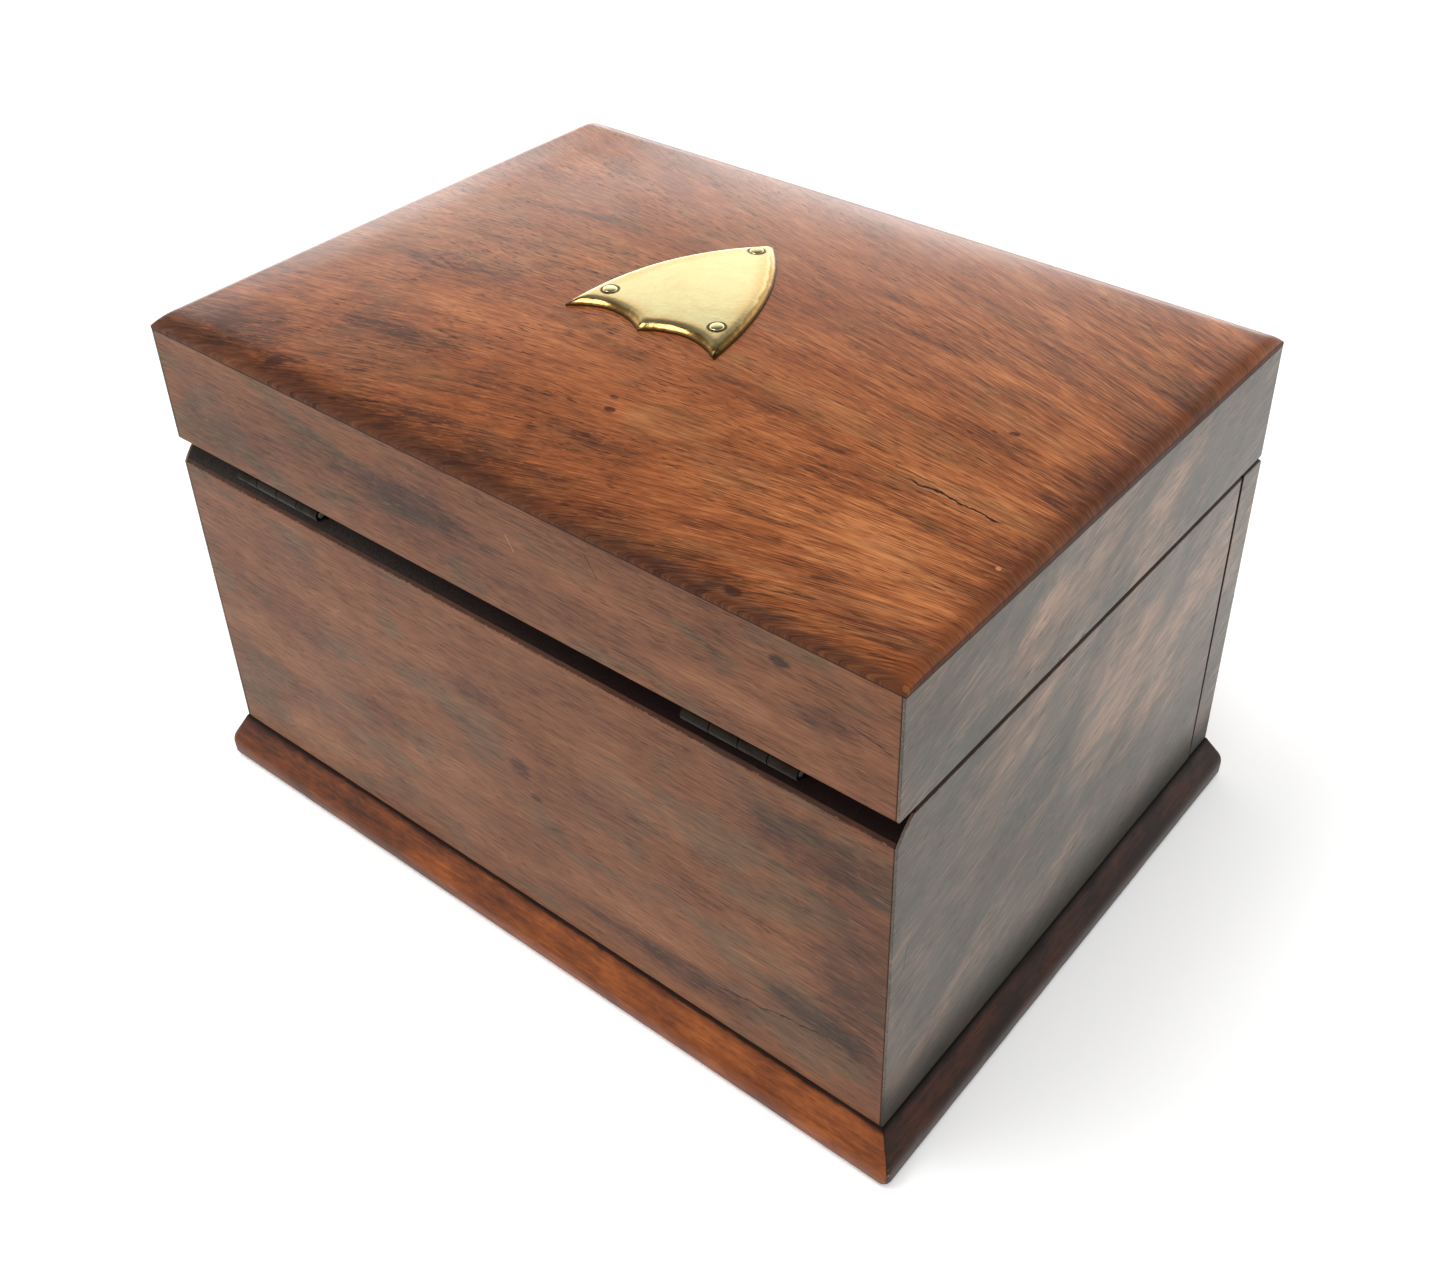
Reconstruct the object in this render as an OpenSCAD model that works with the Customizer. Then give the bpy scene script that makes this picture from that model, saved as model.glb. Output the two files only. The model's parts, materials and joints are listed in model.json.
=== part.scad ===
// Veneered mahogany box with a domed lift-up lid and a fall front, on a moulded plinth.
// Millimetres. +Z is up, the fall front faces -Y, and the origin is at the centre of the base.

/* [Box] */
// Width over the side veneers
box_w = 280; // [240:1:320]
// Depth over the front and rear veneers
box_d = 200; // [170:1:230]
// Height of the body walls above the plinth
body_h = 119; // [95:1:140]
// Thickness of the wall boards
board_t = 12; // [11:0.5:14]
// Thickness of the outer veneers
veneer_t = 0.9; // [0.7:0.1:1.2]
// Thickness of the floor board
floor_t = 8; // [6:0.5:10]
// Thickness of the cloth glued to the floor
cloth_t = 0.8; // [0.5:0.1:1.5]
// Height of the gap between the body and the closed lid
lid_gap = 0.4; // [0.3:0.1:0.8]
// Size of the rounded chamfer along the top of the rear wall
rear_chamfer = 8.9; // [8:0.1:9.4]
// Rise of the rounded chamfer over its straight chord
rear_bulge = 0.8; // [0.3:0.1:1.2]
// Size of the arris taken off the other top edges
top_arris = 1.3; // [0.6:0.1:1.6]

/* [Plinth] */
// Height of the plinth mouldings
plinth_h = 18; // [15:0.5:22]
// How far the mouldings stand out beyond the walls
plinth_out = 6; // [5:0.5:7.5]
// Radius of the moulding's nose
nose_r = 8; // [6:0.5:9]
// Radius under the nose, down to the base
toe_r = 3; // [1.5:0.5:3.5]

/* [Lid] */
// Height of the lid walls, up to the rim
lid_h = 40.5; // [34:0.5:48]
// Rise of the dome over the rim
crown_h = 14.5; // [9:0.5:18]
// Rise of the tight roll just inside the rim
roll_h = 2.4; // [1.5:0.1:3]
// Width of the tight roll
roll_w = 4; // [3:0.5:7]
// Thickness of the domed board at its edge
lid_board_t = 8; // [7:0.5:10]

/* [Fall front] */
// Gap between the fall front and the walls at the bottom
fall_seam = 0.3; // [0.3:0.1:0.6]
// How far its top edge stands below the walls, to swing out under the closed lid
fall_drop = 0.8; // [0.7:0.1:1.2]
// Gap under the fall front
fall_seat = 0.4; // [0.3:0.1:0.6]
// Outward lean of the fall front when it is up, in degrees
fall_lean = 0.44; // [0.3:0.02:0.6]
// Distance of the fall hinge axis in front of the closed front
fall_axis_out = 0.6; // [0.5:0.1:1]

/* [Hinges] */
// Length of a butt hinge
hinge_l = 38; // [34:1:44]
// Distance from the box end to the middle of a hinge
hinge_inset = 49; // [42:1:56]
// Radius of the knuckles
knuckle_r = 2.2; // [2:0.1:2.4]
// Width of a leaf from the hinge axis
leaf_w = 11; // [10:0.25:11.25]
// Thickness of a leaf
leaf_t = 1.4; // [1.3:0.1:1.6]
// Radius of the hinge pins
pin_r = 1.1; // [0.9:0.1:1.3]
// Depth of the lid hinge axis behind the rear face
hinge_back = 1.6; // [1.2:0.1:1.8]

/* [Screws] */
// Radius of a screw's shank
screw_r = 1.4; // [1.2:0.1:1.6]
// Radius of a countersunk head
screw_head_r = 2.6; // [2.3:0.1:2.9]
// Length of a hinge screw
screw_l = 12; // [9:0.5:14]

/* [Shield] */
// Width of the brass shield from tip to tip
shield_w = 55.5; // [44:0.5:66]
// Length of the brass shield from its tips to its point
shield_l = 66; // [54:0.5:78]
// Height of the shield's edge over the wood
shield_edge = 0.7; // [0.5:0.1:1.2]
// Height of the shield's field over the wood
shield_t = 2.2; // [1.8:0.1:2.8]
// Radius of the heads of the three pins
shield_pin_r = 2.5; // [2:0.1:2.8]

/* [Lock] */
// Width of the lock case
lock_w = 50; // [42:1:60]
// Height of the lock case
lock_h = 30; // [28:1:36]
// Depth of the lock case in the fall front
lock_d = 9; // [8:0.1:9.4]
// Thickness of the sheet brass of the lock and its keeper
lock_sheet = 1.4; // [1.2:0.1:1.6]
// Width of the bolt
bolt_w = 18; // [12:1:22]
// Thickness of the bolt
bolt_t = 4.2; // [3.5:0.1:4.6]
// Travel of the bolt into the keeper
bolt_travel = 4.5; // [3.5:0.1:5]

/* [Hidden] */

$fn = 48;
eps = 0.01;             // overshoot of a cut beyond the face it starts from
cut_over = 10;          // how far a cut runs past the end of its edge
screw_fit = 0.06;       // radial play of a screw in its hole
pin_fit = 0.05;         // radial play of a hinge pin
knuckle_gap = 0.3;      // gap between neighbouring knuckles
knuckle_clear = 0.35;   // clearance of wood and leaves round a knuckle
mortise_clear = 0.35;   // clearance round a leaf that moves in its mortise
knuckles = 4;
bolt_clear = 0.35;      // clearance round the sliding bolt

half_w = box_w / 2;
half_d = box_d / 2;
wall_t = board_t + veneer_t;
in_x = half_w - wall_t;                 // inner face of a side wall
in_y = half_d - wall_t;                 // inner face of the rear wall
body_top = plinth_h + body_h;
lid_z = body_top + lid_gap;             // underside of the lid walls
rim_z = lid_z + lid_h;                  // rim where the dome starts
lid_board_z = rim_z - lid_board_t;      // underside of the domed board
lid_side_h = rim_z - veneer_t - lid_z;   // height of the lid's side veneers

fall_in_y = -half_d + wall_t;           // inner face of the fall front
side_front_y = fall_in_y + fall_seam;   // front edge of the side walls and the floor
fall_bottom = plinth_h + fall_seat;
fall_top = body_top - fall_drop;

hinge_x = half_w - hinge_inset;
hinge_y = half_d - hinge_back;
leaf_face = knuckle_r + knuckle_clear;  // outer faces of both leaves from the hinge axis
hinge_z = lid_z - leaf_face;
fall_hinge_y = -half_d - fall_axis_out;
fall_hinge_z = plinth_h + fall_seat / 2;
leaf_screw_y = -(knuckle_r + leaf_w) / 2;
screw_xs = [-hinge_l / 3, 0, hinge_l / 3];

screw_head_h = screw_head_r - screw_r;
screw_tip_h = 3;
slot_w = 0.7;
slot_depth = 0.6;

lock_top = fall_top - lock_sheet;       // top of the case, under the selvedge
lock_in_y = fall_in_y - lock_sheet;     // inner side of the case, against the cap
lock_out_y = fall_in_y - lock_d;
selvedge_over = 3;                      // how far the selvedge passes the case at each end
bolt_y = (lock_in_y + lock_out_y + lock_sheet) / 2;
bolt_low = fall_top - lock_h / 2;
keyhole_z = fall_top - lock_h * 0.66;
keyhole_r = 2.2;
keyhole_slot_w = 2.4;
keyhole_drop = 6;
keyhole_wall = 1;                       // width of the brass round the keyhole
escutcheon_t = 3;
lock_screw_r = 1;
lock_screw_head_r = 1.9;
lock_screw_l = 4;
lock_screw_x = lock_w / 2 + selvedge_over / 2;
bolt_lean = (fall_top - fall_hinge_z) * sin(fall_lean);   // how far the lean brings the bolt out
keeper_y = bolt_y - bolt_lean;
keeper_over = 11;                       // how far the keeper passes the bolt at each end
keeper_edge = 3;                        // brass in front of the bolt's slot and behind it
keeper_w = bolt_w + 2 * keeper_over;
keeper_screw_x = bolt_w / 2 + 0.6 * keeper_over;
keeper_d = bolt_t + 2 * keeper_edge;
keeper_pocket = bolt_travel + 2;

shield_turn = 1.6;      // degrees the shield was set off square
shield_x = 2.3;         // how far it was set off the middle of the lid
shield_y = -3.1;
shield_side_bow = 6.7;  // bow of each long side
shield_scallop = 4.6;   // depth of the two hollows at the broad end
shield_over = 24;       // how far the dome is copied past the shield to cut its underside
shield_depth = 4;       // depth below the crown at which the shield's blank starts
shield_pin_h = 0.8;     // height of a pin's head over the shield
shield_pin_seat = 0.3;  // how deep the heads are let in
shield_pin_stem_r = 0.9;
shield_pin_stem_l = 8;
shield_pin_in = 7.7;    // from the shield's side tips and ends to the pins
shield_pin_tip = 11.5;
shield_pin_point = 8.7;
shield_pins_at = [[shield_w / 2 - shield_pin_in, shield_l / 2 - shield_pin_tip],
    [shield_pin_in - shield_w / 2, shield_l / 2 - shield_pin_tip], [0, shield_pin_point - shield_l / 2]];

dome_nx = 24;
dome_ny = 18;

// ---------- helpers ----------

function arc(cx, cy, r, a0, a1, n) =
    [for (i = [0 : n]) let (a = a0 + (a1 - a0) * i / n) [cx + r * cos(a), cy + r * sin(a)]];

// Points of an arc from p to q that bows out by s to the right of the way from p to q
function bow(p, q, s, n) =
    let (d = q - p, c = norm(d), side = [d[1], -d[0]] / c)
    [for (i = [0 : n]) let (t = i / n) p + d * t + side * s * 4 * t * (1 - t)];

// A row of steps from -1 to 1 that crowd together towards both ends
function crowded(n) =
    [for (i = [0 : n]) let (s = 2 * i / n - 1) sign(s) * (1 - pow(1 - abs(s), 1.8))];

function roll(d) = sqrt(max(0, 1 - pow(1 - min(1, d / roll_w), 2)));

// Rise of the dome over the rim at a place x, y
function dome(x, y) =
    let (a = x / half_w, b = y / half_d)
    roll_h * roll(half_w - abs(x)) * roll(half_d - abs(y))
    + (crown_h - roll_h) * (1 - a * a) * (1 - b * b);

inner_xs = [for (s = crowded(dome_nx)) s * (half_w - veneer_t)];
inner_ys = [for (s = crowded(dome_ny)) s * (half_d - veneer_t)];
outer_xs = concat([-half_w], inner_xs, [half_w]);
outer_ys = concat([-half_d], inner_ys, [half_d]);

// Points of the dome, lowered by drop, where the lines xs and ys cross
function dome_grid(xs, ys, drop) = [for (y = ys) for (x = xs) [x, y, rim_z - drop + dome(x, y)]];

// Two triangles for each cell of a grid of nx by ny points
function grid_cells(nx, ny) =
    [for (j = [0 : ny - 2]) for (i = [0 : nx - 2]) let (k = j * nx + i)
        each [[k, k + nx + 1, k + 1], [k, k + nx, k + nx + 1]]];

// The points round a grid, clockwise from above after the turn at each corner
function grid_rim(nx, ny) =
    concat([for (i = [0 : nx - 2]) i], [for (j = [0 : ny - 2]) j * nx + nx - 1],
        [for (i = [nx - 1 : -1 : 1]) (ny - 1) * nx + i], [for (j = [ny - 1 : -1 : 1]) j * nx]);

module box_from(low, high) {
    translate(low) cube(high - low);
}

// A closed solid between the dome, lowered by drop, and the same grid at low_z or on the skin's underside
module dome_solid(xs, ys, drop, lower) {
    count = len(xs) * len(ys);
    upper_cells = grid_cells(len(xs), len(ys));
    lower_cells = [for (f = upper_cells) [f[0] + count, f[2] + count, f[1] + count]];
    rim = grid_rim(len(xs), len(ys));
    n = len(rim);
    edge = [for (i = [0 : n - 1]) let (p = rim[i], q = rim[(i + 1) % n])
        each [[p, q, q + count], [p, q + count, p + count]]];
    polyhedron(concat(dome_grid(xs, ys, drop), lower), concat(upper_cells, lower_cells, edge));
}

// A slab with the dome on top and a flat underside at low_z
module dome_slab(xs, ys, drop, low_z) {
    dome_solid(xs, ys, drop, [for (y = ys) for (x = xs) [x, y, low_z]]);
}

// A skin of even height that follows the dome
module dome_skin(thickness) {
    dome_solid(outer_xs, outer_ys, 0, dome_grid(outer_xs, outer_ys, thickness));
}

// The space outside the rounded chamfer along the top of the rear wall
module rear_chamfer_cut() {
    c = rear_chamfer;
    profile = concat([[c + 1, -c], [c + 1, 1], [0, 1]], bow([0, 0], [c, -c], -rear_bulge, 8));
    translate([-half_w - 1, half_d - c, body_top])
        rotate([90, 0, 90])
            linear_extrude(box_w + 2)
                polygon(profile);
}

// A three-cornered bar that takes the arris off an edge along X; the edge runs through the origin
module arris_cut(length) {
    c = top_arris;
    rotate([90, 0, 90])
        linear_extrude(length, center = true)
            polygon([[-c, 0], [0, -c], [1, -c], [1, 1], [-c, 1]]);
}

// Takes the arris off the top of a side wall; side is 1 for the wall at +X
module side_arris_cut(side) {
    translate([side * half_w, 0, body_top])
        rotate([0, 0, -side * 90])
            arris_cut(box_d + 2 * cut_over);
}

// A countersunk wood screw along -Z with its head's face at z = 0, grown by fit for its hole
module screw_form(fit) {
    translate([0, 0, -screw_head_h])
        cylinder(h = screw_head_h + (fit > 0 ? eps : 0), r1 = screw_r + fit, r2 = screw_head_r + fit);
    translate([0, 0, -(screw_l - screw_tip_h)])
        cylinder(h = screw_l - screw_tip_h - screw_head_h + eps, r = screw_r + fit);
    translate([0, 0, -screw_l - fit])
        cylinder(h = screw_tip_h + fit + eps, r1 = 0.3 + fit, r2 = screw_r + fit);
}

module wood_screw() {
    difference() {
        screw_form(0);
        translate([-screw_head_r, -slot_w / 2, -slot_depth])
            cube([2 * screw_head_r, slot_w, 1]);
    }
}

// ---------- hinges: the axis runs along X through the origin, the leaves reach towards -Y ----------

// Start of knuckle i along the hinge
function knuckle_x(i) = -hinge_l / 2 + i * hinge_l / knuckles;

// The upper leaf has the even knuckles, the lower leaf the odd ones; side is 1 for the upper leaf
module leaf_screws_at(side) {
    for (x = screw_xs)
        translate([x, leaf_screw_y, side * (leaf_face - leaf_t)])
            rotate([side > 0 ? 180 : 0, 0, 0])
                children();
}

module hinge_leaf(side) {
    own = side > 0 ? [0, 2] : [1, 3];
    other = side > 0 ? [1, 3] : [0, 2];
    plate_z = side > 0 ? leaf_face - leaf_t : -leaf_face;
    difference() {
        union() {
            translate([-hinge_l / 2, -leaf_w, plate_z])
                cube([hinge_l, leaf_w, leaf_t]);
            for (i = own)
                translate([knuckle_x(i) + knuckle_gap / 2, 0, 0])
                    rotate([0, 90, 0])
                        cylinder(h = hinge_l / knuckles - knuckle_gap, r = knuckle_r);
        }
        for (i = other)
            translate([knuckle_x(i) - knuckle_gap / 2, -leaf_face, -leaf_face - 1])
                cube([hinge_l / knuckles + knuckle_gap, 2 * leaf_face, 2 * leaf_face + 2]);
        rotate([0, 90, 0])
            cylinder(h = hinge_l + 2, r = pin_r, center = true);
        leaf_screws_at(side) screw_form(screw_fit);
    }
}

module hinge_pin() {
    rotate([0, 90, 0])
        cylinder(h = hinge_l - knuckle_gap, r = pin_r - pin_fit, center = true);
}

// Room for the knuckles in the wood round them
module knuckle_room() {
    rotate([0, 90, 0])
        cylinder(h = hinge_l + 2 * mortise_clear, r = knuckle_r + knuckle_clear, center = true);
}

module at_lid_hinge(side) {
    translate([side * hinge_x, hinge_y, hinge_z]) children();
}

module at_fall_hinge(side) {
    translate([side * hinge_x, fall_hinge_y, fall_hinge_z])
        rotate([0, 0, 180])
            children();
}

// Places a piece of the fall front, which leans out a little about its hinge
module fall_pose() {
    translate([0, fall_hinge_y, fall_hinge_z])
        rotate([fall_lean, 0, 0])
            translate([0, -fall_hinge_y, -fall_hinge_z])
                children();
}

// ---------- carcase ----------

module rear_board() {
    color("saddlebrown")
    difference() {
        box_from([-in_x, in_y, plinth_h], [in_x, half_d - veneer_t, body_top]);
        rear_chamfer_cut();
        for (side = [-1, 1])
            at_lid_hinge(side) {
                translate([-hinge_l / 2 - mortise_clear, -leaf_w - mortise_clear, -leaf_face])
                    cube([hinge_l + 2 * mortise_clear, leaf_w * 2, leaf_face * 2 + 1]);
                leaf_screws_at(-1) screw_form(screw_fit);
            }
    }
}

module side_board(side) {
    color("saddlebrown")
    difference() {
        translate([side > 0 ? in_x : -half_w + veneer_t, side_front_y, plinth_h])
            cube([board_t, half_d - veneer_t - side_front_y, body_h]);
        rear_chamfer_cut();
        side_arris_cut(side);
    }
}

module left_board() side_board(-1);
module right_board() side_board(1);

module floor_board() {
    color("peru")
    box_from([-in_x, side_front_y, plinth_h], [in_x, in_y, plinth_h + floor_t]);
}

module floor_cloth() {
    color("darkred")
    box_from([-in_x + 0.3, side_front_y + 0.5, plinth_h + floor_t],
        [in_x - 0.3, in_y - 0.3, plinth_h + floor_t + cloth_t]);
}

module rear_veneer() {
    color("sienna")
    difference() {
        box_from([-half_w + veneer_t, half_d - veneer_t, plinth_h],
            [half_w - veneer_t, half_d, body_top]);
        rear_chamfer_cut();
    }
}

module side_veneer(side) {
    color("sienna")
    difference() {
        translate([side > 0 ? half_w - veneer_t : -half_w, side_front_y, plinth_h])
            cube([veneer_t, half_d - side_front_y, body_h]);
        rear_chamfer_cut();
        side_arris_cut(side);
    }
}

module left_veneer() side_veneer(-1);
module right_veneer() side_veneer(1);

// ---------- plinth ----------

// Profile of a moulding: x is outward from the wall line, y is up from the base
function plinth_profile() =
    let (slope = 58, a = 90 - slope, cx = plinth_out - nose_r, x1 = cx + nose_r * cos(a),
        cz = plinth_h - x1 * tan(slope) - nose_r * sin(a))
    concat([[-wall_t, 0], [-wall_t, plinth_h], [0, plinth_h]],
        arc(cx, cz, nose_r, a, 0, 6),
        arc(plinth_out - toe_r, toe_r, toe_r, 0, -90, 6));

// One mitred moulding along a side whose wall line is depth from the centre; outward is +Y
module moulding(length, depth) {
    reach = plinth_out + 1;
    cut = 60;
    difference() {
        translate([-length / 2 - reach, depth, 0])
            rotate([90, 0, 90])
                linear_extrude(length + 2 * reach)
                    polygon(plinth_profile());
        for (side = [-1, 1])
            translate([side * length / 2, depth, plinth_h / 2])
                rotate([0, 0, side * 45])
                    translate([0, -cut / 2, 0])
                        cube(cut, center = true);
    }
}

module plinth_rear() {
    color("brown") moulding(box_w, half_d);
}

module plinth_front() {
    color("brown")
    difference() {
        rotate([0, 0, 180]) moulding(box_w, half_d);
        for (side = [-1, 1])
            at_fall_hinge(side) {
                knuckle_room();
                translate([-hinge_l / 2, -leaf_w, -leaf_face])
                    cube([hinge_l, leaf_w, leaf_face * 2]);
                leaf_screws_at(-1) screw_form(screw_fit);
            }
    }
}

module plinth_left() {
    color("brown") rotate([0, 0, 90]) moulding(box_d, half_w);
}

module plinth_right() {
    color("brown") rotate([0, 0, -90]) moulding(box_d, half_w);
}

// ---------- hinges of the lid ----------

module left_hinge_body_leaf() {
    color("goldenrod") at_lid_hinge(-1) hinge_leaf(-1);
}

module right_hinge_body_leaf() {
    color("goldenrod") at_lid_hinge(1) hinge_leaf(-1);
}

module left_hinge_lid_leaf() {
    color("gold") at_lid_hinge(-1) hinge_leaf(1);
}

module right_hinge_lid_leaf() {
    color("gold") at_lid_hinge(1) hinge_leaf(1);
}

module left_hinge_pin() {
    color("dimgray") at_lid_hinge(-1) hinge_pin();
}

module right_hinge_pin() {
    color("dimgray") at_lid_hinge(1) hinge_pin();
}

module hinge_body_screws() {
    color("dimgray")
    for (side = [-1, 1])
        at_lid_hinge(side) leaf_screws_at(-1) wood_screw();
}

module hinge_lid_screws() {
    color("dimgray")
    for (side = [-1, 1])
        at_lid_hinge(side) leaf_screws_at(1) wood_screw();
}

// ---------- hinges of the fall front ----------

module left_fall_hinge_base_leaf() {
    color("goldenrod") at_fall_hinge(-1) hinge_leaf(-1);
}

module right_fall_hinge_base_leaf() {
    color("goldenrod") at_fall_hinge(1) hinge_leaf(-1);
}

module left_fall_hinge_leaf() {
    color("gold") fall_pose() at_fall_hinge(-1) hinge_leaf(1);
}

module right_fall_hinge_leaf() {
    color("gold") fall_pose() at_fall_hinge(1) hinge_leaf(1);
}

module left_fall_hinge_pin() {
    color("dimgray") at_fall_hinge(-1) hinge_pin();
}

module right_fall_hinge_pin() {
    color("dimgray") at_fall_hinge(1) hinge_pin();
}

module fall_hinge_base_screws() {
    color("dimgray")
    for (side = [-1, 1])
        at_fall_hinge(side) leaf_screws_at(-1) wood_screw();
}

module fall_hinge_screws() {
    color("dimgray")
    fall_pose()
        for (side = [-1, 1])
            at_fall_hinge(side) leaf_screws_at(1) wood_screw();
}

// ---------- fall front ----------

// What the hinges, the lock and the edges take out of the fall front
module fall_cuts() {
    for (side = [-1, 1])
        at_fall_hinge(side) {
            knuckle_room();
            translate([-hinge_l / 2, -leaf_w, -leaf_face])
                cube([hinge_l, leaf_w, 2 * leaf_face]);
            leaf_screws_at(1) screw_form(screw_fit);
        }
    translate([0, -half_d, fall_top])
        rotate([0, 0, 180])
            arris_cut(box_w + 2 * cut_over);
    for (side = [-1, 1])
        side_arris_cut(side);
    keyhole(keyhole_wall, -half_d - 1, -half_d + escutcheon_t);
    keyhole(0, -half_d, lock_out_y + 1);
    box_from([-lock_w / 2, lock_out_y, fall_top - lock_h], [lock_w / 2, fall_in_y + 1, fall_top + 1]);
    box_from([-lock_w / 2 - selvedge_over, lock_out_y - eps, lock_top],
        [lock_w / 2 + selvedge_over, fall_in_y + 1, fall_top + 1]);
    lock_screws_at() lock_screw_form(screw_fit);
}

module fall_board() {
    color("saddlebrown")
    fall_pose()
        difference() {
            box_from([-half_w + veneer_t, -half_d + veneer_t, fall_bottom],
                [half_w - veneer_t, fall_in_y, fall_top]);
            fall_cuts();
        }
}

module fall_veneer() {
    color("sienna")
    fall_pose()
        difference() {
            box_from([-half_w + veneer_t, -half_d, fall_bottom],
                [half_w - veneer_t, -half_d + veneer_t, fall_top]);
            fall_cuts();
        }
}

module fall_end_veneer(side) {
    color("sienna")
    fall_pose()
        difference() {
            translate([side > 0 ? half_w - veneer_t : -half_w, -half_d, fall_bottom])
                cube([veneer_t, wall_t, fall_top - fall_bottom]);
            fall_cuts();
        }
}

module fall_left_end_veneer() fall_end_veneer(-1);
module fall_right_end_veneer() fall_end_veneer(1);

// ---------- lock, let into the fall front ----------

// A keyhole along Y from y0 to y1, with its outline grown
module keyhole(grow, y0, y1) {
    translate([0, y0, keyhole_z])
        rotate([-90, 0, 0]) {
            cylinder(h = y1 - y0, r = keyhole_r + grow);
            translate([-keyhole_slot_w / 2 - grow, 0, 0])
                cube([keyhole_slot_w + 2 * grow, keyhole_drop + grow, y1 - y0]);
        }
}

module lock_screws_at() {
    for (side = [-1, 1])
        translate([side * lock_screw_x, (fall_in_y + lock_out_y) / 2, fall_top])
            children();
}

module lock_screw_form(fit) {
    head_h = lock_screw_head_r - lock_screw_r;
    translate([0, 0, -head_h])
        cylinder(h = head_h + (fit > 0 ? eps : 0), r1 = lock_screw_r + fit, r2 = lock_screw_head_r + fit);
    translate([0, 0, -lock_screw_l - lock_sheet - fit])
        cylinder(h = lock_screw_l + lock_sheet - head_h + fit + eps, r = lock_screw_r + fit);
}

module lock_case() {
    color("goldenrod")
    fall_pose()
        difference() {
            union() {
                box_from([-lock_w / 2, lock_out_y, fall_top - lock_h], [lock_w / 2, lock_in_y, lock_top + eps]);
                box_from([-lock_w / 2 - selvedge_over, lock_out_y, lock_top],
                    [lock_w / 2 + selvedge_over, fall_in_y, fall_top]);
            }
            box_from([-lock_w / 2 + lock_sheet, lock_out_y + lock_sheet, fall_top - lock_h + lock_sheet],
                [lock_w / 2 - lock_sheet, lock_in_y + 1, lock_top]);
            box_from([-bolt_w / 2 - bolt_clear, bolt_y - bolt_t / 2 - bolt_clear, lock_top - 1],
                [bolt_w / 2 + bolt_clear, bolt_y + bolt_t / 2 + bolt_clear, fall_top + 1]);
            keyhole(0, lock_out_y - 1, lock_out_y + lock_sheet + 1);
            lock_screws_at() lock_screw_form(screw_fit);
        }
}

module lock_cap() {
    color("gold")
    fall_pose()
        box_from([-lock_w / 2, lock_in_y, fall_top - lock_h], [lock_w / 2, fall_in_y, lock_top]);
}

// The pin that a pipe key turns on
module lock_pin() {
    color("dimgray")
    fall_pose()
        translate([0, lock_in_y, keyhole_z])
            rotate([90, 0, 0])
                cylinder(h = lock_in_y - lock_out_y - lock_sheet, r = keyhole_r / 2);
}

module lock_screws() {
    color("dimgray")
    fall_pose()
        lock_screws_at()
            difference() {
                lock_screw_form(0);
                translate([-lock_screw_head_r, -slot_w / 2, -slot_depth])
                    cube([2 * lock_screw_head_r, slot_w, 1]);
            }
}

module keyhole_escutcheon() {
    color("gold")
    fall_pose()
        difference() {
            keyhole(keyhole_wall, -half_d, -half_d + escutcheon_t);
            keyhole(0, -half_d - 1, -half_d + escutcheon_t + 1);
        }
}

module lock_bolt() {
    color("khaki")
    fall_pose()
        difference() {
            box_from([-bolt_w / 2, bolt_y - bolt_t / 2, bolt_low], [bolt_w / 2, bolt_y + bolt_t / 2, fall_top - 0.2]);
            translate([0, bolt_y, bolt_low])
                rotate([90, 0, 0])
                    cylinder(h = bolt_t + 2, r = bolt_w / 4, center = true);
        }
}

// ---------- lid ----------

module lid_board() {
    color("saddlebrown")
    difference() {
        dome_slab(inner_xs, inner_ys, veneer_t, lid_board_z);
        shield_pins_placed() shield_pin_stem(screw_fit);
    }
}

module lid_top_veneer() {
    color("chocolate")
    difference() {
        dome_skin(veneer_t);
        shield_pins_placed() shield_pin_stem(screw_fit);
    }
}

module lid_rear_rail() {
    color("saddlebrown")
    difference() {
        box_from([-in_x, in_y, lid_z], [in_x, half_d - veneer_t, lid_board_z]);
        for (side = [-1, 1])
            at_lid_hinge(side) leaf_screws_at(1) screw_form(screw_fit);
    }
}

module lid_front_rail() {
    color("saddlebrown")
    difference() {
        box_from([-in_x, -half_d + veneer_t, lid_z], [in_x, -in_y, lid_board_z]);
        box_from([-keeper_w / 2, keeper_y - keeper_d / 2, lid_z - 1],
            [keeper_w / 2, keeper_y + keeper_d / 2, lid_z + lock_sheet]);
        box_from([-bolt_w / 2 - 2 * bolt_clear, keeper_y - bolt_t / 2 - 2 * bolt_clear, lid_z - 1],
            [bolt_w / 2 + 2 * bolt_clear, keeper_y + bolt_t / 2 + 2 * bolt_clear, lid_z + keeper_pocket]);
        keeper_screws_at() lock_screw_form(screw_fit);
    }
}

module lid_side_rail(side) {
    color("saddlebrown")
    translate([side > 0 ? in_x : -half_w + veneer_t, -half_d + veneer_t, lid_z])
        cube([board_t, box_d - 2 * veneer_t, lid_board_z - lid_z]);
}

module lid_left_rail() lid_side_rail(-1);
module lid_right_rail() lid_side_rail(1);

module lid_rear_veneer() {
    color("sienna")
    translate([-half_w + veneer_t, half_d - veneer_t, lid_z])
        cube([box_w - 2 * veneer_t, veneer_t, lid_side_h]);
}

module lid_front_veneer() {
    color("sienna")
    translate([-half_w + veneer_t, -half_d, lid_z])
        cube([box_w - 2 * veneer_t, veneer_t, lid_side_h]);
}

module lid_side_veneer(side) {
    color("sienna")
    translate([side > 0 ? half_w - veneer_t : -half_w, -half_d, lid_z])
        cube([veneer_t, box_d, lid_side_h]);
}

module lid_left_veneer() lid_side_veneer(-1);
module lid_right_veneer() lid_side_veneer(1);

module keeper_screws_at() {
    for (side = [-1, 1])
        translate([side * keeper_screw_x, keeper_y, lid_z])
            rotate([180, 0, 0])
                children();
}

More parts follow.
